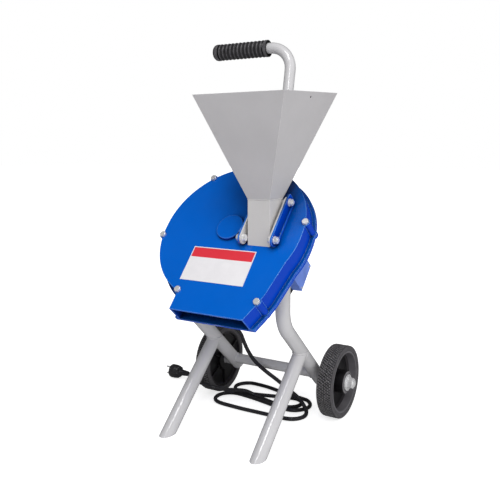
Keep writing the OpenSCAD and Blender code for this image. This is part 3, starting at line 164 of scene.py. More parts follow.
class Mat:
    """A node material on object coordinates, which are the frame's metres at rest."""

    def __init__(self, name):
        self.mat = bpy.data.materials.new(name)
        self.mat.use_nodes = True
        self.tree = self.mat.node_tree
        self.bsdf = self.tree.nodes["Principled BSDF"]
        self.place = self.node("ShaderNodeTexCoord").outputs["Object"]
        MAT[name] = self.mat

    def node(self, kind, **values):
        """A new node; each value goes to the property of its name, or else to the input."""
        node = self.tree.nodes.new(kind)
        for name, value in values.items():
            if hasattr(node, name):
                setattr(node, name, value)
            else:
                node.inputs[name].default_value = value
        return node

    def feed(self, socket, value):
        """Gives an input another node's output or a constant."""
        if hasattr(value, "links"):
            self.tree.links.new(value, socket)
        else:
            socket.default_value = value

    def shade(self, **values):
        """Feeds the shader's own inputs; an underscore in a name stands for a space."""
        for name, value in values.items():
            self.feed(self.bsdf.inputs[name.replace("_", " ")], value)

    def noise(self, scale, detail=3, rough=0.55, stretch=None):
        """Cloudy noise, with about as many features in a metre as its scale."""
        texture = self.node("ShaderNodeTexNoise", Scale=scale, Detail=detail, Roughness=rough)
        place = self.place
        if stretch:
            mapping = self.node("ShaderNodeMapping", Scale=stretch)
            self.feed(mapping.inputs["Vector"], place)
            place = mapping.outputs["Vector"]
        self.feed(texture.inputs["Vector"], place)
        return texture.outputs["Fac"]

    def ramp(self, value, low, high, start=0.35, end=0.65):
        """A colour that goes from low to high while the value goes from start to end."""
        node = self.node("ShaderNodeValToRGB")
        first, last = node.color_ramp.elements
        first.position, last.position = start, end
        first.color, last.color = low, high
        self.feed(node.inputs["Fac"], value)
        return node.outputs["Color"]

    def mix(self, share, a, b):
        """Colour a, with a share of colour b."""
        node = self.node("ShaderNodeMix", data_type="RGBA")
        self.feed(node.inputs[MIX_SHARE], share)
        self.feed(node.inputs[MIX_A], a)
        self.feed(node.inputs[MIX_B], b)
        return node.outputs[MIX_RESULT]

    def math(self, operation, a, b=0.0):
        node = self.node("ShaderNodeMath", operation=operation)
        self.feed(node.inputs[0], a)
        self.feed(node.inputs[1], b)
        return node.outputs[0]

    def map(self, value, start, end, low, high):
        """Goes from low to high while the value goes from start to end."""
        node = self.node("ShaderNodeMapRange")
        self.feed(node.inputs["Value"], value)
        for name, limit in zip(("From Min", "From Max", "To Min", "To Max"), (start, end, low, high)):
            node.inputs[name].default_value = limit
        return node.outputs["Result"]

    def rise(self, distance, start, width=BLEND):
        """Goes from 0 to 1 over a width past a distance, both in millimetres."""
        return self.map(distance, start * MM, (start + width) * MM, 0, 1)

    def fall(self, distance, start, width=BLEND):
        """Goes from 1 to 0 over a width past a distance, both in millimetres."""
        return self.map(distance, start * MM, (start + width) * MM, 1, 0)

    def patchy(self, scale, detail, low, high):
        """Noise that lies between two values."""
        return self.map(self.noise(scale, detail), NOISE_LOW, NOISE_HIGH, low, high)

    def parts(self, vector):
        node = self.node("ShaderNodeSeparateXYZ")
        self.feed(node.inputs["Vector"], vector)
        return node.outputs

    def from_line(self, y, z):
        """Distance from a line along X, and the place along it without its sign, in metres."""
        line = at(0, y, z)
        here = self.parts(self.place)
        dy = self.math("SUBTRACT", here["Y"], line.y)
        dz = self.math("SUBTRACT", here["Z"], line.z)
        squares = self.math("ADD", self.math("MULTIPLY", dy, dy), self.math("MULTIPLY", dz, dz))
        return self.math("SQRT", squares), self.math("ABSOLUTE", here["X"])

    def cosine(self, a, b):
        node = self.node("ShaderNodeVectorMath", operation="DOT_PRODUCT")
        self.feed(node.inputs[0], a)
        self.feed(node.inputs[1], b)
        return node.outputs["Value"]

    def plain_normal(self):
        return self.node("ShaderNodeNewGeometry").outputs["Normal"]

    def rounded_normal(self, radius):
        """The normal, with edges rounded to a radius in millimetres."""
        return self.node("ShaderNodeBevel", samples=BEVEL_SAMPLES, Radius=radius * MM).outputs["Normal"]

    def edge(self, width):
        """About 1 along edges, over a width in millimetres, and 0 on flat faces."""
        turn = self.cosine(self.rounded_normal(width), self.plain_normal())
        return self.map(turn, HIGHLIGHT_START, HIGHLIGHT_FULL, 0, 1)

    def bump(self, height, strength, depth, soft=None):
        """Relief of a depth in millimetres, on edges rounded to a radius in millimetres."""
        node = self.node("ShaderNodeBump", Strength=strength, Distance=depth * MM)
        self.feed(node.inputs["Height"], height)
        if soft:
            self.feed(node.inputs["Normal"], self.rounded_normal(soft))
        self.shade(Normal=node.outputs["Normal"])


def paint(
    name, colour, rough, peel, soft=0.8, coat=0.0, gloss=0.12, spec=0.3, edge=None, painted_shade_colour=None, hole=None,
):
    """Sprayed paint: cloudy tone, orange peel, soft edges and a painted highlight along them.

    The deep colour is painted shade: faces that turn away from the front plate's direction take it, and
    recesses take a darker painted shade of it.
    hole is the Y and Z of the small hole in the hopper's right wall, which is a dark disc of painted shade.
    """
    m = Mat(name)
    base = m.ramp(m.noise(9, 4), tone(colour, 0.97), tone(colour, 1.03))
    flecks = m.map(m.noise(160), 0.45, 0.75, 0, 0.03)
    base = m.mix(flecks, base, tone(colour, 1.25))
    # Painted shade: faces that turn away from the front plate's direction take the deep colour
    if painted_shade_colour:
        painted_turned_shade = m.map(m.cosine(m.plain_normal(), (0, -COS, SIN)), 0.55, 0.97, 1, 0)
        base = m.mix(painted_turned_shade, base, painted_shade_colour)
    # Painted highlight along edges, stronger in patches, in the edge colour
    patches = m.map(m.noise(70, 5, 0.65), 0.35, 0.65, 0.55, 1)
    painted_highlight = m.math("MULTIPLY", m.edge(2 * soft), patches)
    base = m.mix(m.math("MULTIPLY", painted_highlight, 0.85), base, edge or tone(colour, 1.35))
    # Painted shade in recesses, darker where ambient occlusion finds less open sky
    if painted_shade_colour:
        sky = m.node("ShaderNodeAmbientOcclusion", samples=RECESS_SAMPLES, Distance=RECESS_REACH * MM)
        painted_recess_shade = m.map(sky.outputs["AO"], 0.30, 0.80, 0.97, 0)
        base = m.mix(painted_recess_shade, base, tone(painted_shade_colour, 0.06))
    if hole:
        # A dark disc of painted shade stands for the hole's inside
        r, x = m.from_line(*hole)
        painted_hole_shade = m.math("MULTIPLY", m.fall(r, HOLE_R, width=0.2), m.rise(x, HOLE_X, width=1))
        base = m.mix(painted_hole_shade, base, lin(20, 20, 21))
    m.shade(Base_Color=base, Roughness=m.patchy(22, 5, rough - 0.03, rough + 0.05))
    m.shade(Coat_Weight=coat, Coat_Roughness=gloss, Specular_IOR_Level=spec)
    m.bump(m.noise(620, 2), strength=0.08 * peel, depth=0.4, soft=soft)


def metal(name, colour, rough, scale=420, grain=None, tarnish=0.12, metallic=1.0):
    """Bare or plated metal: fine grain and tarnish in patches."""
    m = Mat(name)
    fine = m.noise(scale, 4, 0.6, grain)
    base = m.ramp(fine, tone(colour, 0.93), tone(colour, 1.06), NOISE_LOW, NOISE_HIGH)
    stains = m.map(m.noise(45, 5, 0.6), 0.5, 0.75, 0, tarnish)
    m.shade(Base_Color=m.mix(stains, base, tone(colour, 0.45)), Metallic=metallic)
    m.shade(Roughness=m.map(fine, 0.25, 0.75, rough - 0.04, rough + 0.06))
    m.bump(fine, strength=0.12, depth=0.2, soft=0.4)


def plastic(name, colour, rough, grain=900, relief=0.12, coat=0.0):
    """Moulded plastic or smooth rubber: cloudy tone, fine grain and pale scuffs."""
    m = Mat(name)
    base = m.ramp(m.noise(30), tone(colour, 0.9), tone(colour, 1.12))
    scuffs = m.map(m.noise(140, 6, 0.7), 0.6, 0.8, 0, 0.1)
    m.shade(Base_Color=m.mix(scuffs, base, tone(colour, 1.9)))
    m.shade(Roughness=m.patchy(60, 4, rough - 0.07, rough + 0.09))
    m.shade(Coat_Weight=coat, Coat_Roughness=0.2)
    m.bump(m.noise(grain, 2), strength=relief, depth=0.3, soft=0.6)


# Blue paint: a pale blue painted highlight along edges, and deeper blue painted shade on faces turned away
# from the front plate and in recesses
paint(
    "blue_paint", lin(0, 95, 198), rough=0.14, peel=0.3, soft=1.4, spec=0.36,
    edge=lin(120, 184, 250), painted_shade_colour=lin(0, 64, 190),
)
# Every paint gets a painted highlight along its edges, in its edge colour or a lighter tone of its own colour
paint("grey_paint", lin(203, 202, 204), rough=0.45, peel=0.3, soft=0.7, coat=1.0, gloss=0.03, spec=0.5)
paint(
    "sheet_grey", lin(188, 186, 188), rough=0.50, peel=1.0,
    edge=lin(222, 221, 222), hole=(NECK_Y, HOLE_Z),
)
paint("neck_grey", lin(198, 196, 196), rough=0.46, peel=1.0, edge=lin(226, 225, 224))
paint("motor_blue", lin(0, 72, 166), rough=0.42, peel=1.2)
metal("zinc", (0.92, 0.92, 0.93, 1), rough=0.18, metallic=0.5)
metal("tool_steel", (0.42, 0.43, 0.45, 1), rough=0.34, scale=300)
metal("cast_alloy", (0.34, 0.35, 0.37, 1), rough=0.5, scale=900, tarnish=0.3)
metal("copper", (0.60, 0.27, 0.12, 1), rough=0.35, scale=200, grain=(1, 1, 9))
plastic("black_plastic", lin(34, 34, 36), rough=0.42)
plastic("cord_rubber", lin(44, 43, 46), rough=0.34, grain=1600, coat=0.4)
plastic("box_plastic", lin(112, 142, 226), rough=0.48, grain=1300, relief=0.2)
plastic("brown_plastic", lin(96, 62, 40), rough=0.5)
plastic("green_plastic", lin(30, 132, 58), rough=0.34, relief=0.08, coat=0.2)
plastic("red_plastic", lin(196, 30, 42), rough=0.34, relief=0.08, coat=0.2)

# Grip: radii of its grooves, which get painted shade, and of its rib tops, which get a painted highlight
GRIP_GROOVE_R, GRIP_TOP_R = 18.6, 20.9


def grip_rubber():
    """Moulded grip: a painted highlight on its rib tops and painted shade in its grooves."""
    m = Mat("grip_rubber")
    r, _ = m.from_line(GRIP_Y, GRIP_Z)
    # Rib tops get a painted highlight and the grooves painted shade
    painted_top_highlight = m.ramp(m.noise(90, 4), lin(74, 72, 75), lin(98, 96, 99))
    height = m.rise(r, GRIP_GROOVE_R, width=GRIP_TOP_R - GRIP_GROOVE_R)
    m.shade(Base_Color=m.mix(height, lin(9, 9, 10), painted_top_highlight))
    m.shade(Roughness=m.patchy(60, 4, 0.34, 0.46))
    m.bump(m.noise(1400, 2), strength=0.2, depth=0.3, soft=0.6)


# Wheel: the hub's face, the dark ring round it, the web's edge inside which the painted shade is darkest, and
# where the painted shade on the wheel's inner side starts
HUB_FACE_R, HUB_RING_R, WEB_R = 26.8, 29.6, 66.0
INNER_SHADE_X = 173.5


def wheel_plastic():
    """Moulded wheel: grey rim, pale hub face in a dark ring, and painted shade over the inner side, darkest
    on the web.
    """
    m = Mat("wheel_plastic")
    r, x = m.from_line(0, AXLE_Z)
    base = m.ramp(m.noise(30), lin(98, 96, 100), lin(110, 108, 112))
    base = m.mix(m.fall(r, HUB_RING_R), base, lin(20, 19, 21))
    base = m.mix(m.fall(r, HUB_FACE_R), base, lin(128, 126, 129))
    # Painted shade on the wheel's inner side, darkest inside the web's edge
    painted_inner_shade = m.mix(m.rise(r, WEB_R, width=2), lin(17, 16, 18), lin(46, 44, 47))
    base = m.mix(m.fall(x, INNER_SHADE_X, width=1), base, painted_inner_shade)
    scuffs = m.map(m.noise(140, 6, 0.7), 0.6, 0.8, 0, 0.1)
    m.shade(Base_Color=m.mix(scuffs, base, lin(120, 118, 121)))
    m.shade(Roughness=m.patchy(60, 4, 0.28, 0.4), Coat_Weight=0.2, Coat_Roughness=0.2)
    m.bump(m.noise(500, 2), strength=0.08, depth=0.3, soft=0.6)


# Tyre: depths of the grooves, which get painted shade, and of the tread's tops, which get a painted
# highlight, under the tyre's radius, and where its side walls start
GROOVE_DROP, TOP_DROP, WALL_DROP = 1.6, 0.4, 3.2
TYRE_MID = (TYRE_IN + TYRE_OUT) / 2
WALL_OFF = 16.8


def tyre_rubber():
    """Rubber with a painted highlight on the tread's tops, painted shade in its grooves, and grey side walls.
    """
    m = Mat("tyre_rubber")
    r, x = m.from_line(0, AXLE_Z)
    # Tread tops get a painted highlight and the grooves painted shade
    painted_highlight = m.ramp(m.noise(260, 5, 0.65), lin(72, 70, 72), lin(134, 132, 134), end=0.7)
    height = m.rise(r, TYRE_R - GROOVE_DROP, width=GROOVE_DROP - TOP_DROP)
    tread = m.mix(height, lin(14, 14, 15), painted_highlight)
    off = m.math("ABSOLUTE", m.math("SUBTRACT", x, TYRE_MID * MM))
    wall = m.math("MAXIMUM", m.fall(r, TYRE_R - WALL_DROP), m.rise(off, WALL_OFF))
    grey = m.ramp(m.noise(120, 4), lin(74, 72, 75), lin(92, 90, 93), end=0.7)
    m.shade(Base_Color=m.mix(wall, tread, grey), Roughness=m.patchy(60, 4, 0.5, 0.7))
    m.bump(m.noise(1100, 2), strength=0.35, depth=0.3, soft=0.4)


# Label: its middle on the plate, its size, its white rim and the lower edge of its band over the middle
LABEL_U, LABEL_V = 8.0, -99.0
LABEL_W, LABEL_H = 161.0, 87.0
LABEL_RIM = 2.2
BAND_LOW = 16.6


def label_film():
    """Bare film: white, with a plain red band along its top inside a thin white rim."""
    m = Mat("label_film")
    mapping = m.node("ShaderNodeMapping", vector_type="TEXTURE", Location=plate(LABEL_U, LABEL_V, 0))
    mapping.inputs["Rotation"].default_value = (math.radians(90) - TILT, 0, 0)
    m.feed(mapping.inputs["Vector"], m.place)
    here = m.parts(mapping.outputs["Vector"])
    red = m.rise(here["Y"], BAND_LOW)
    for axis, size in (("X", LABEL_W), ("Y", LABEL_H)):
        inside = m.fall(m.math("ABSOLUTE", here[axis]), size / 2 - LABEL_RIM)
        red = m.math("MULTIPLY", red, inside)
    white = m.ramp(m.noise(40), lin(230, 228, 231), lin(234, 232, 235))
    m.shade(Base_Color=m.mix(red, white, lin(222, 50, 64)), Roughness=m.patchy(90, 3, 0.28, 0.38))
    m.shade(Coat_Weight=0.1, Coat_Roughness=0.1)
    m.bump(m.noise(260, 2), strength=0.03, depth=0.3)


grip_rubber()
wheel_plastic()
tyre_rubber()
label_film()

for entry in frame["record"]["subparts"]:
    materials = NODE[entry["node"]].data.materials
    materials.clear()
    materials.append(MAT[entry["material_slot"]])


# Pieces
# Signs of a square's corners, in order round it
SQUARE = [(-1, -1), (1, -1), (1, 1), (-1, 1)]
# Beads: distance between points on a straight run, points in one ripple, features of the unevenness in a
# metre, shares of the wave and of the unevenness in a ripple, and the size of an open end as a share
LINE_STEP = 1.2
RIPPLE_POINTS = 3
RIPPLE_SCALE = 190
RIPPLE_WAVE, RIPPLE_UNEVEN = 0.5, 0.8
BEAD_END = 0.35


def add_mesh(name, bm, body, slot, smooth=True):
    """A named piece on a body, from a mesh that is done."""
    mesh = bpy.data.meshes.new(name)
    bmesh.ops.recalc_face_normals(bm, faces=bm.faces)
    bm.to_mesh(mesh)
    bm.free()
    for p in mesh.polygons:
        p.use_smooth = smooth
    obj = bpy.data.objects.new(name, mesh)
    bpy.context.scene.collection.objects.link(obj)
    mesh.materials.append(MAT[slot])
    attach(obj, body)
    return obj


def turns(n):
    """Angles of n equal steps round a circle."""
    return [2 * math.pi * i / n for i in range(n)]


def straight(a, b):
    """Points along a line between two points in metres."""
    n = max(2, int((b - a).length / (LINE_STEP * MM)))
    return [a.lerp(b, i / n) for i in range(n + 1)]


def join_rows(bm, rows, closed=True, round_rows=True):
    """Faces between neighbouring rows of points; closed joins the last row to the first."""
    n = len(rows[0])
    for r0, r1 in zip(rows, rows[1:] + rows[:1] if closed else rows[1:]):
        for k in range(n if round_rows else n - 1):
            j = (k + 1) % n
            bm.faces.new((r0[k], r0[j], r1[j], r1[k]))


def spin(bm, section, steps, place):
    """A closed section turned round once; place gives the point for a radius, a place along and a turn."""
    rows = []
    for turn in turns(steps):
        rows.append([bm.verts.new(place(r, along, turn)) for r, along in section])
    join_rows(bm, rows)


def sweep(bm, points, normals, radius, closed=True, sides=8, ripple=0.0):
    """A round bead along points in metres, with the ripples of a welder's run."""
    rings = []
    last = len(points) - 1
    for i, point in enumerate(points):
        ahead = points[(i + 1) % len(points)] if closed or i < last else point
        behind = points[i - 1] if closed or i > 0 else point
        along = (ahead - behind).normalized()
        up = (normals[i] - along * normals[i].dot(along)).normalized()
        across = along.cross(up)
        wave = math.sin(2 * math.pi * i / RIPPLE_POINTS)
        uneven = noise.noise(point * RIPPLE_SCALE)
        swell = 1 + ripple * (RIPPLE_WAVE * wave + RIPPLE_UNEVEN * uneven)
        if not closed and i in (0, last):
            swell = BEAD_END
        reach = radius * MM * swell
        outs = [math.cos(turn) * up + math.sin(turn) * across for turn in turns(sides)]
        rings.append([bm.verts.new(point + reach * out) for out in outs])
    join_rows(bm, rings, closed)
    if not closed:
        bm.faces.new(rings[0][::-1])
        bm.faces.new(rings[-1])


# Welds of the frame: legs and crossbar on the main tubes, main tubes on the rear plate
TUBE_WELD_R, CROSSBAR_WELD_R = 2.6, 2.4
TUBE_WELD_STEPS, CROSSBAR_WELD_STEPS = 72, 56
FRAME_RIPPLE = 0.16
axle = Vector((0, 0, AXLE_Z))
tube_dir = Vector((0, -math.cos(TUBE_SLOPE), math.sin(TUBE_SLOPE)))
tube_down = Vector((0, -math.sin(TUBE_SLOPE), -math.cos(TUBE_SLOPE)))
leg_dir = Vector((0, math.cos(LEG_SLOPE), math.sin(LEG_SLOPE)))
leg_up = Vector((0, -math.sin(LEG_SLOPE), math.cos(LEG_SLOPE)))


def leg_weld(side):
    """The line where a leg's skin meets its main tube."""
    points, normals = [], []
    for turn in turns(TUBE_WELD_STEPS):
        out = Vector((math.cos(turn), 0, 0)) + math.sin(turn) * leg_up
        start = Vector((0, FOOT_Y, 0)) + TUBE_R * out
        reach = TUBE_R * abs(math.sin(turn)) - (start - axle).dot(tube_down)
        p = start + leg_dir * reach / leg_dir.dot(tube_down)
        points.append(at(p.x + side * TRACK_X, p.y, p.z))
        normals.append(out)
    return points, normals


def crossbar_weld(side):
    """The line where the crossbar's skin meets a main tube."""
    middle = axle + CROSSBAR_UP * tube_dir
    points, normals = [], []
    for turn in turns(CROSSBAR_WELD_STEPS):
        out = Vector((0, math.cos(turn), math.sin(turn)))
        p = middle + CROSSBAR_R * out
        off = (p - axle).dot(tube_down)
        inset = math.sqrt(TUBE_R ** 2 - off ** 2)
        points.append(at(side * (TRACK_X - inset), p.y, p.z))
        normals.append(out)
    return points, normals


def post_weld(side):
    """The oval where a main tube meets the back of the rear plate."""
    points, normals = [], []
    for turn in turns(TUBE_WELD_STEPS):
        out = Vector((math.cos(turn), math.sin(turn), 0))
        x, y = side * TRACK_X + TUBE_R * out.x, POST_Y + TUBE_R * out.y
        v = (y - BOSS_Y - CHAMBER_DEPTH * COS) / SIN
        points.append(plate(x, v, -CHAMBER_DEPTH))
        normals.append(out)
    return points, normals


bm = bmesh.new()
for side in (-1, 1):
    sweep(bm, *leg_weld(side), TUBE_WELD_R, ripple=FRAME_RIPPLE)
    sweep(bm, *crossbar_weld(side), CROSSBAR_WELD_R, ripple=FRAME_RIPPLE)
    sweep(bm, *post_weld(side), TUBE_WELD_R, ripple=FRAME_RIPPLE)
add_mesh("frame_welds", bm, "machine", "grey_paint")

# Weld seam round the hopper's foot
SEAM_R = 1.1
bm = bmesh.new()
corners = [at(NECK_X + i * NECK_W / 2, NECK_Y + j * NECK_L / 2, NECK_TOP) for i, j in SQUARE]
middle = at(NECK_X, NECK_Y, NECK_TOP)
seam = []
for a, b in zip(corners, corners[1:] + corners[:1]):
    seam += straight(a, b)[:-1]
sweep(bm, seam, [p - middle for p in seam], SEAM_R, ripple=0.2)
add_mesh("hopper_seam", bm, "machine", "neck_grey")

# Welds of the chute brackets on the front plate and of the handle's cheeks on the rear plate
BRACKET_WELD_R, CHEEK_WELD_R = 3.6, 1.9
BRACKET_LOW, BRACKET_HIGH = -33.0, 84.0
CHEEK_LOW, CHEEK_HIGH = 101.0, 165.0
CHEEK_T = 5.0
WELD_OFF = 0.4
low, high = corners_of("handle_bracket")
CHEEK_MID = (low.x + high.x) / 2
CHEEK_HALF = (high.x - low.x) / 2
face_out = plate(0, 0, 1) - plate(0, 0, 0)
bm = bmesh.new()
for side in (-1, 1):
    u = NECK_X + side * (BRACKET_HALF + WELD_OFF)
    run = straight(plate(u, BRACKET_LOW, WELD_OFF), plate(u, BRACKET_HIGH, WELD_OFF))
    sweep(bm, run, [face_out] * len(run), BRACKET_WELD_R, closed=False, sides=12, ripple=0.1)
for side in (-1, 1):
    for reach in (CHEEK_HALF - CHEEK_T, CHEEK_HALF):
        u = CHEEK_MID + side * reach
        back = -CHAMBER_DEPTH - WELD_OFF
        run = straight(plate(u, CHEEK_LOW, back), plate(u, CHEEK_HIGH, back))
        sweep(bm, run, [-face_out] * len(run), CHEEK_WELD_R, closed=False, ripple=0.18)
add_mesh("bracket_welds", bm, "machine", "blue_paint")

# Tyres: a moulded carcass, with a raised ring on each side wall, and rows of small staggered blocks
RIM_R = 76.0
WALL_RING_IN, WALL_RING_OUT, WALL_RING_SLOPE = 79.8, 81.0, 0.6
TYRE_STEPS = 144
PITCHES = 84
ROWS = 8
CARCASS_R = TYRE_R - GROOVE_DROP
WALL_TOP_R = TYRE_R - 2.4
SHOULDER = 2.6
MIDDLE_GROOVE = 0.7
ROW_W = (TYRE_OUT - TYRE_IN - 2 * SHOULDER - MIDDLE_GROOVE) / ROWS
# Blocks: space at each side in the row, slant of the flanks, depth they are sunk, and drop of their tops
BLOCK_SIDE, BLOCK_SLANT, BLOCK_SINK, BLOCK_DROP = 0.35, 0.35, 0.3, 0.35
# Shares of a pitch: half a block's length, and the shift from row to row
BLOCK_HALF, ROW_SHIFT = 0.37, 0.33
# Unevenness of the blocks: shares of a pitch for place and length, millimetres for height, and the steps that
# their rows and pitches take through the noise
UNEVEN_PLACE, UNEVEN_LENGTH, UNEVEN_RISE = 0.12, 0.10, 0.3
NOISE_ROW, NOISE_PITCH = 3.7, 1.9


def carcass_section():
    """Radius and place across the tyre, from the inner rim over the tread to the outer rim."""
    inner = [
        (RIM_R, 1), (RIM_R + 1.5, 0.3),
        (WALL_RING_IN - WALL_RING_SLOPE, 0.3), (WALL_RING_IN, 0),
        (WALL_RING_OUT, 0), (WALL_RING_OUT + WALL_RING_SLOPE, 0.5),
        (WALL_TOP_R - 1.6, 0.5), (WALL_TOP_R - 0.8, 0), (WALL_TOP_R, 0.1),
        (CARCASS_R + 0.6, 1.2), (CARCASS_R, SHOULDER),
    ]
    outer = [(r, TYRE_OUT - inset) for r, inset in reversed(inner)]
    return [(r, TYRE_IN + inset) for r, inset in inner] + outer


def tyre(side):
    bm = bmesh.new()

    def on_wheel(r, x, turn):
        return at(side * x, r * math.cos(turn), AXLE_Z + r * math.sin(turn))

    def block(x_in, x_out, mid, half_turn, top_r):
        corners = []
        for r, slant in ((CARCASS_R - BLOCK_SINK, 0.0), (top_r, BLOCK_SLANT)):
            a, b = x_in + slant, x_out - slant
            reach = half_turn - slant / r
            for x, turn in ((a, mid - reach), (b, mid - reach), (b, mid + reach), (a, mid + reach)):
                corners.append(bm.verts.new(on_wheel(r, x, turn)))
        bm.faces.new(corners[4:])
        join_rows(bm, [corners[:4], corners[4:]], closed=False)

    spin(bm, carcass_section(), TYRE_STEPS, on_wheel)
    pitch = 2 * math.pi / PITCHES
    for row in range(ROWS):
        x = TYRE_IN + SHOULDER + row * ROW_W + (MIDDLE_GROOVE if row >= ROWS // 2 else 0)
        for i in range(PITCHES):
            uneven = noise.noise(Vector((row * NOISE_ROW, i * NOISE_PITCH, side)))
            mid = pitch * (i + ROW_SHIFT * (row % 3) + UNEVEN_PLACE * uneven)
            half_turn = pitch * (BLOCK_HALF + UNEVEN_LENGTH * uneven)
            top_r = TYRE_R - BLOCK_DROP + UNEVEN_RISE * uneven
            block(x + BLOCK_SIDE, x + ROW_W - BLOCK_SIDE, mid, half_turn, top_r)
    name = "left" if side < 0 else "right"
    obj = add_mesh("tread_" + name, bm, "wheel_" + name, "tyre_rubber", False)
    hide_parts("tyre_" + name)


tyre(-1)
tyre(1)

# Bezels round the two buttons on the switch box: radius and rise over the box's top
BOX_MID, BOX_TOP = 88.5, 58.0
BUTTON_DEPTHS = (168.0, 198.0)
BEZEL_IN, BEZEL_OUT = 7.5, 10.6
BEZEL_RISE, BEZEL_SINK = 1.9, 0.2
BEZEL_STEPS = 40
BEZEL = [
    (BEZEL_IN, -BEZEL_SINK), (BEZEL_IN, BEZEL_RISE - 0.5), (BEZEL_IN + 0.4, BEZEL_RISE),
    (BEZEL_OUT - 1.4, BEZEL_RISE), (BEZEL_OUT - 0.4, BEZEL_RISE - 0.7), (BEZEL_OUT, -BEZEL_SINK),
]


def bezel(bm, depth):
    def on_box(r, rise, turn):
        return plate(BOX_MID + r * math.cos(turn), BOX_TOP + rise, -depth + r * math.sin(turn))

    spin(bm, BEZEL, BEZEL_STEPS, on_box)


bm = bmesh.new()
for depth in BUTTON_DEPTHS:
    bezel(bm, depth)
add_mesh("button_bezels", bm, "machine", "black_plastic")

# Power cord: from the gland on the motor down to the floor, in two loose loops there, and over to the plug
ROUTE = [
    (-122, -122, 321), (-141, -125, 308), (-150, -121, 285), (-142, -110, 259), (-119, -95, 237),
    (-91, -78, 216), (-71, -64, 192), (-65, -54, 166), (-56, -47, 140), (-39, -42, 115),
    (-12, -38, 94), (19, -31, 73), (49, -21, 49), (76, -18, 30), (95, -26, 17),
    (108, -39, 9.5), (113, -57, 6), (108, -75, 5.2), (95, -89, 5.2), (76, -95, 5.2),
    (40, -96, 5.2), (0, -97, 5.2), (-40, -98, 5.2), (-76, -97, 5.2), (-106, -95, 5.2),
    (-127, -89, 5.2), (-141, -75, 5.2), (-146, -55, 5.2), (-141, -36, 5.2), (-127, -22, 5.2),
    (-106, -17, 5.2), (-60, -22, 5.2), (-20, -30, 5.2), (20, -39, 5.2), (54, -44, 5.2),
    (75, -39, 5.2), (91, -23, 5.2), (97, -3, 5.2), (91, 18, 5.2), (75, 35, 5.2),
    (54, 41, 5.2), (20, 46, 5.2), (-20, 56, 5.2), (-64, 67, 5.2), (-106, 70, 5.2),
    (-124, 65, 5.2), (-137, 52, 5.2), (-142, 35, 5.2), (-137, 18, 5.2), (-124, 5, 5.2),
    (-106, 0, 5.2), (-64, 3, 5.2), (-20, 15, 5.2), (16, 26, 5.2), (42, 30, 5.2),
    (57, 26, 5.2), (68, 15, 5.2), (72, 0, 5.2), (68, -15, 5.2), (57, -26, 5.2),
    (42, -30, 5.2), (16, -26, 5.2), (-20, -17, 5.2), (-54, -10, 7.6), (-79, -18, 18),
    (-97, -38, 24.5), (-109, -61, 30.5), (-122, -80, 37), (-137, -91, 42), (-153, -93, 44.5),
    (-168, -92, 46), (-184, -90, 46.5), (-203, -81, 44), (-218, -64, 39.5), (-231, -42, 33),
    (-242, -19, 26.5), (-256, -1.5, 22), (-274, 7.2, 19.3),
]
CORD_D = 10.0
CORD_LIFT = 0.05
CORD_STEPS = 8
# Ends: the gland's tip, by its distance and turn round the shaft and its depth behind the plate, and the plug
GLAND_TIP = 110.2
GLAND_TURN = math.radians(205)
GLAND_DEPTH = 176.0
PLUG_TAIL = (-290, 8, 19)
cord_exit = plate(GLAND_TIP * math.cos(GLAND_TURN), GLAND_TIP * math.sin(GLAND_TURN), -GLAND_DEPTH)


def smooth_path(points, steps):
    """A smooth curve through points in metres, kept just off the floor."""
    p = [2 * points[0] - points[1]] + points + [2 * points[-1] - points[-2]]
    lowest = (CORD_D / 2 + CORD_LIFT) * MM
    out = []
    for a, b, c, d in zip(p, p[1:], p[2:], p[3:]):
        square = 2 * a - 5 * b + 4 * c - d
        cube = 3 * b - a - 3 * c + d
        for k in range(steps):
            t = k / steps
            q = (2 * b + (c - a) * t + square * t * t + cube * t ** 3) / 2
            q.z = max(q.z, lowest)
            out.append(q)
    return out + [points[-1].copy()]


path = smooth_path([cord_exit] + [at(*p) for p in ROUTE] + [at(*PLUG_TAIL)], CORD_STEPS)
curve = bpy.data.curves.new("power_cord_run", "CURVE")
curve.dimensions = "3D"
curve.bevel_depth = CORD_D / 2 * MM
curve.bevel_resolution = 5
curve.use_fill_caps = True
spline = curve.splines.new("POLY")
spline.points.add(len(path) - 1)
for q, p in zip(path, spline.points):
    p.co = (*q, 1)
spline.use_smooth = True
cord = bpy.data.objects.new("power_cord_run", curve)
bpy.context.scene.collection.objects.link(cord)
curve.materials.append(MAT["cord_rubber"])
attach(cord, "machine")
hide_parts("power_cord")

# Finger ribs on the plug's cone: profile by distance from the cord's end and radius, and section by place
# across and drop from that radius
RIBS = 10
RIB_PROFILE = [(25, 7.5), (27, 13.2), (31, 17.2), (37, 18.4), (42, 18.7), (44, 17.6)]
RIB_SECTION = [(-2.1, 5.0), (-1.6, 0.5), (0, 0), (1.6, 0.5), (2.1, 5.0)]
# Rings on the bend relief, which is a sleeve round the cord that widens towards the plug
RELIEF_L, RELIEF_WALL, RELIEF_FLARE = 22.0, 1.2, 1.8
RINGS, RING_START, RING_PITCH = 5, 3.0, 4.2
RING_OFF, RING_BEAD_R, RING_STEPS = 0.1, 0.9, 28


def from_plug_tail(along):
    """A point on the plug's line, in metres."""
    x, y, z = PLUG_TAIL
    return at(x - along, y, z)


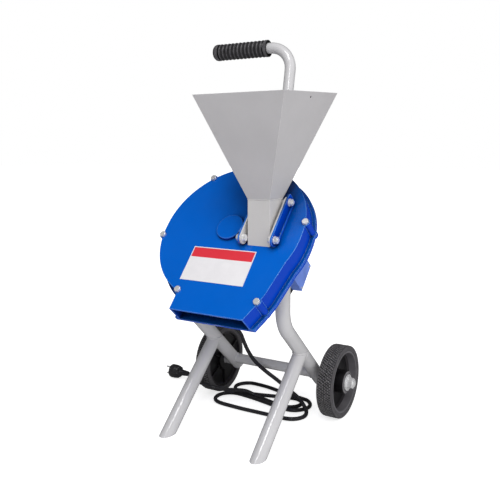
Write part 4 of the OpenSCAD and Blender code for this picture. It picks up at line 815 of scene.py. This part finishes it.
bm = bmesh.new()
for turn in turns(RIBS):
    out = Vector((0, math.cos(turn), math.sin(turn)))
    across = Vector((0, -math.sin(turn), math.cos(turn)))
    rows = []
    for along, r in RIB_PROFILE:
        foot = from_plug_tail(along)
        rows.append([bm.verts.new(foot + (out * (r - drop) + across * w) * MM) for w, drop in RIB_SECTION])
    join_rows(bm, rows, closed=False, round_rows=False)
    bm.faces.new(rows[0])
    bm.faces.new(rows[-1][::-1])
for i in range(RINGS):
    along = RING_START + RING_PITCH * i
    foot = from_plug_tail(along)
    r = CORD_D / 2 + RELIEF_WALL + RELIEF_FLARE * along / RELIEF_L + RING_OFF
    ring = [foot + r * MM * Vector((0, math.cos(turn), math.sin(turn))) for turn in turns(RING_STEPS)]
    sweep(bm, ring, [p - foot for p in ring], RING_BEAD_R, sides=6)
ribs = add_mesh("plug_ribs", bm, "machine", "cord_rubber")

# Floor, in metres: the camera sees it grey under a glow that grows with distance, and mirrored it is dark
FLOOR_HALF = 20
FLOOR_NEAR, FLOOR_FAR = 0.5, 1.3
FLOOR_GLOW = 0.70
FLOOR_SEEN = 0.82
FLOOR_BOUNCE = 0.88
FLOOR_MIRRORED = 0.22


def grey(level):
    return level, level, level, 1


def floor_material():
    m = Mat("floor")
    rays = m.node("ShaderNodeLightPath").outputs
    away = m.node("ShaderNodeVectorMath", operation="LENGTH")
    m.feed(away.inputs[0], m.place)
    strength = m.map(away.outputs["Value"], FLOOR_NEAR, FLOOR_FAR, FLOOR_GLOW, 1.0)
    glow = m.node("ShaderNodeEmission")
    m.feed(glow.inputs["Strength"], m.math("MULTIPLY", rays["Is Camera Ray"], strength))
    bounce = m.mix(rays["Is Glossy Ray"], grey(FLOOR_BOUNCE), grey(FLOOR_MIRRORED))
    diffuse = m.node("ShaderNodeBsdfDiffuse")
    m.feed(diffuse.inputs["Color"], m.mix(rays["Is Camera Ray"], bounce, grey(FLOOR_SEEN)))
    both = m.node("ShaderNodeAddShader")
    m.feed(both.inputs[0], diffuse.outputs[0])
    m.feed(both.inputs[1], glow.outputs[0])
    m.feed(m.tree.nodes["Material Output"].inputs["Surface"], both.outputs[0])
    return m.mat


floor_mesh = bpy.data.meshes.new("floor")
floor_corners = [(i * FLOOR_HALF, j * FLOOR_HALF, 0) for i, j in SQUARE]
floor_mesh.from_pydata(floor_corners, [], [(0, 1, 2, 3)])
floor = bpy.data.objects.new("floor", floor_mesh)
bpy.context.scene.collection.objects.link(floor)
floor_mesh.materials.append(floor_material())

# Background: white to the camera, dark in mirrored views and a plain ambient light otherwise
AMBIENT = 0.41
MIRRORED = 0.04
world = bpy.data.worlds.new("studio")
bpy.context.scene.world = world
world.use_nodes = True
tree = world.node_tree
background = tree.nodes["Background"]
background.inputs["Color"].default_value = (1, 1, 1, 1)
rays = tree.nodes.new("ShaderNodeLightPath").outputs
seen = tree.nodes.new("ShaderNodeMapRange")
seen.inputs["To Min"].default_value = AMBIENT
seen.inputs["To Max"].default_value = 1.0
tree.links.new(rays["Is Camera Ray"], seen.inputs["Value"])
strength = tree.nodes.new("ShaderNodeMath")
strength.operation = "MULTIPLY_ADD"
strength.inputs[1].default_value = MIRRORED - AMBIENT
tree.links.new(rays["Is Glossy Ray"], strength.inputs[0])
tree.links.new(seen.outputs["Result"], strength.inputs[2])
tree.links.new(strength.outputs[0], background.inputs["Strength"])


def area(name, place, aim, size, power, mirrored=True):
    """A rectangular lamp in the frame's metres; one that isn't mirrored stays out of reflections."""
    data = bpy.data.lights.new(name, "AREA")
    data.shape = "RECTANGLE"
    data.size, data.size_y = size
    data.energy = power
    lamp = bpy.data.objects.new(name, data)
    lamp.location = place
    lamp.visible_glossy = mirrored
    lamp.rotation_euler = (Vector(aim) - Vector(place)).to_track_quat("-Z", "Y").to_euler()
    bpy.context.scene.collection.objects.link(lamp)


area("overhead", place=(0.4, -1.1, 2.68), aim=(0.05, -0.06, 0.1), size=(0.75, 0.85), power=21)
area("front", place=(1.12, -2.29, 2.15), aim=(0.02, 0.17, 0.83), size=(0.7, 0.8), power=15)
area("right", place=(2.9, -1.2, 1.4), aim=(0, 0, 0.5), size=(3.2, 3.2), power=55, mirrored=False)

bpy.context.scene.view_settings.view_transform = "Standard"
bpy.context.view_layer.update()
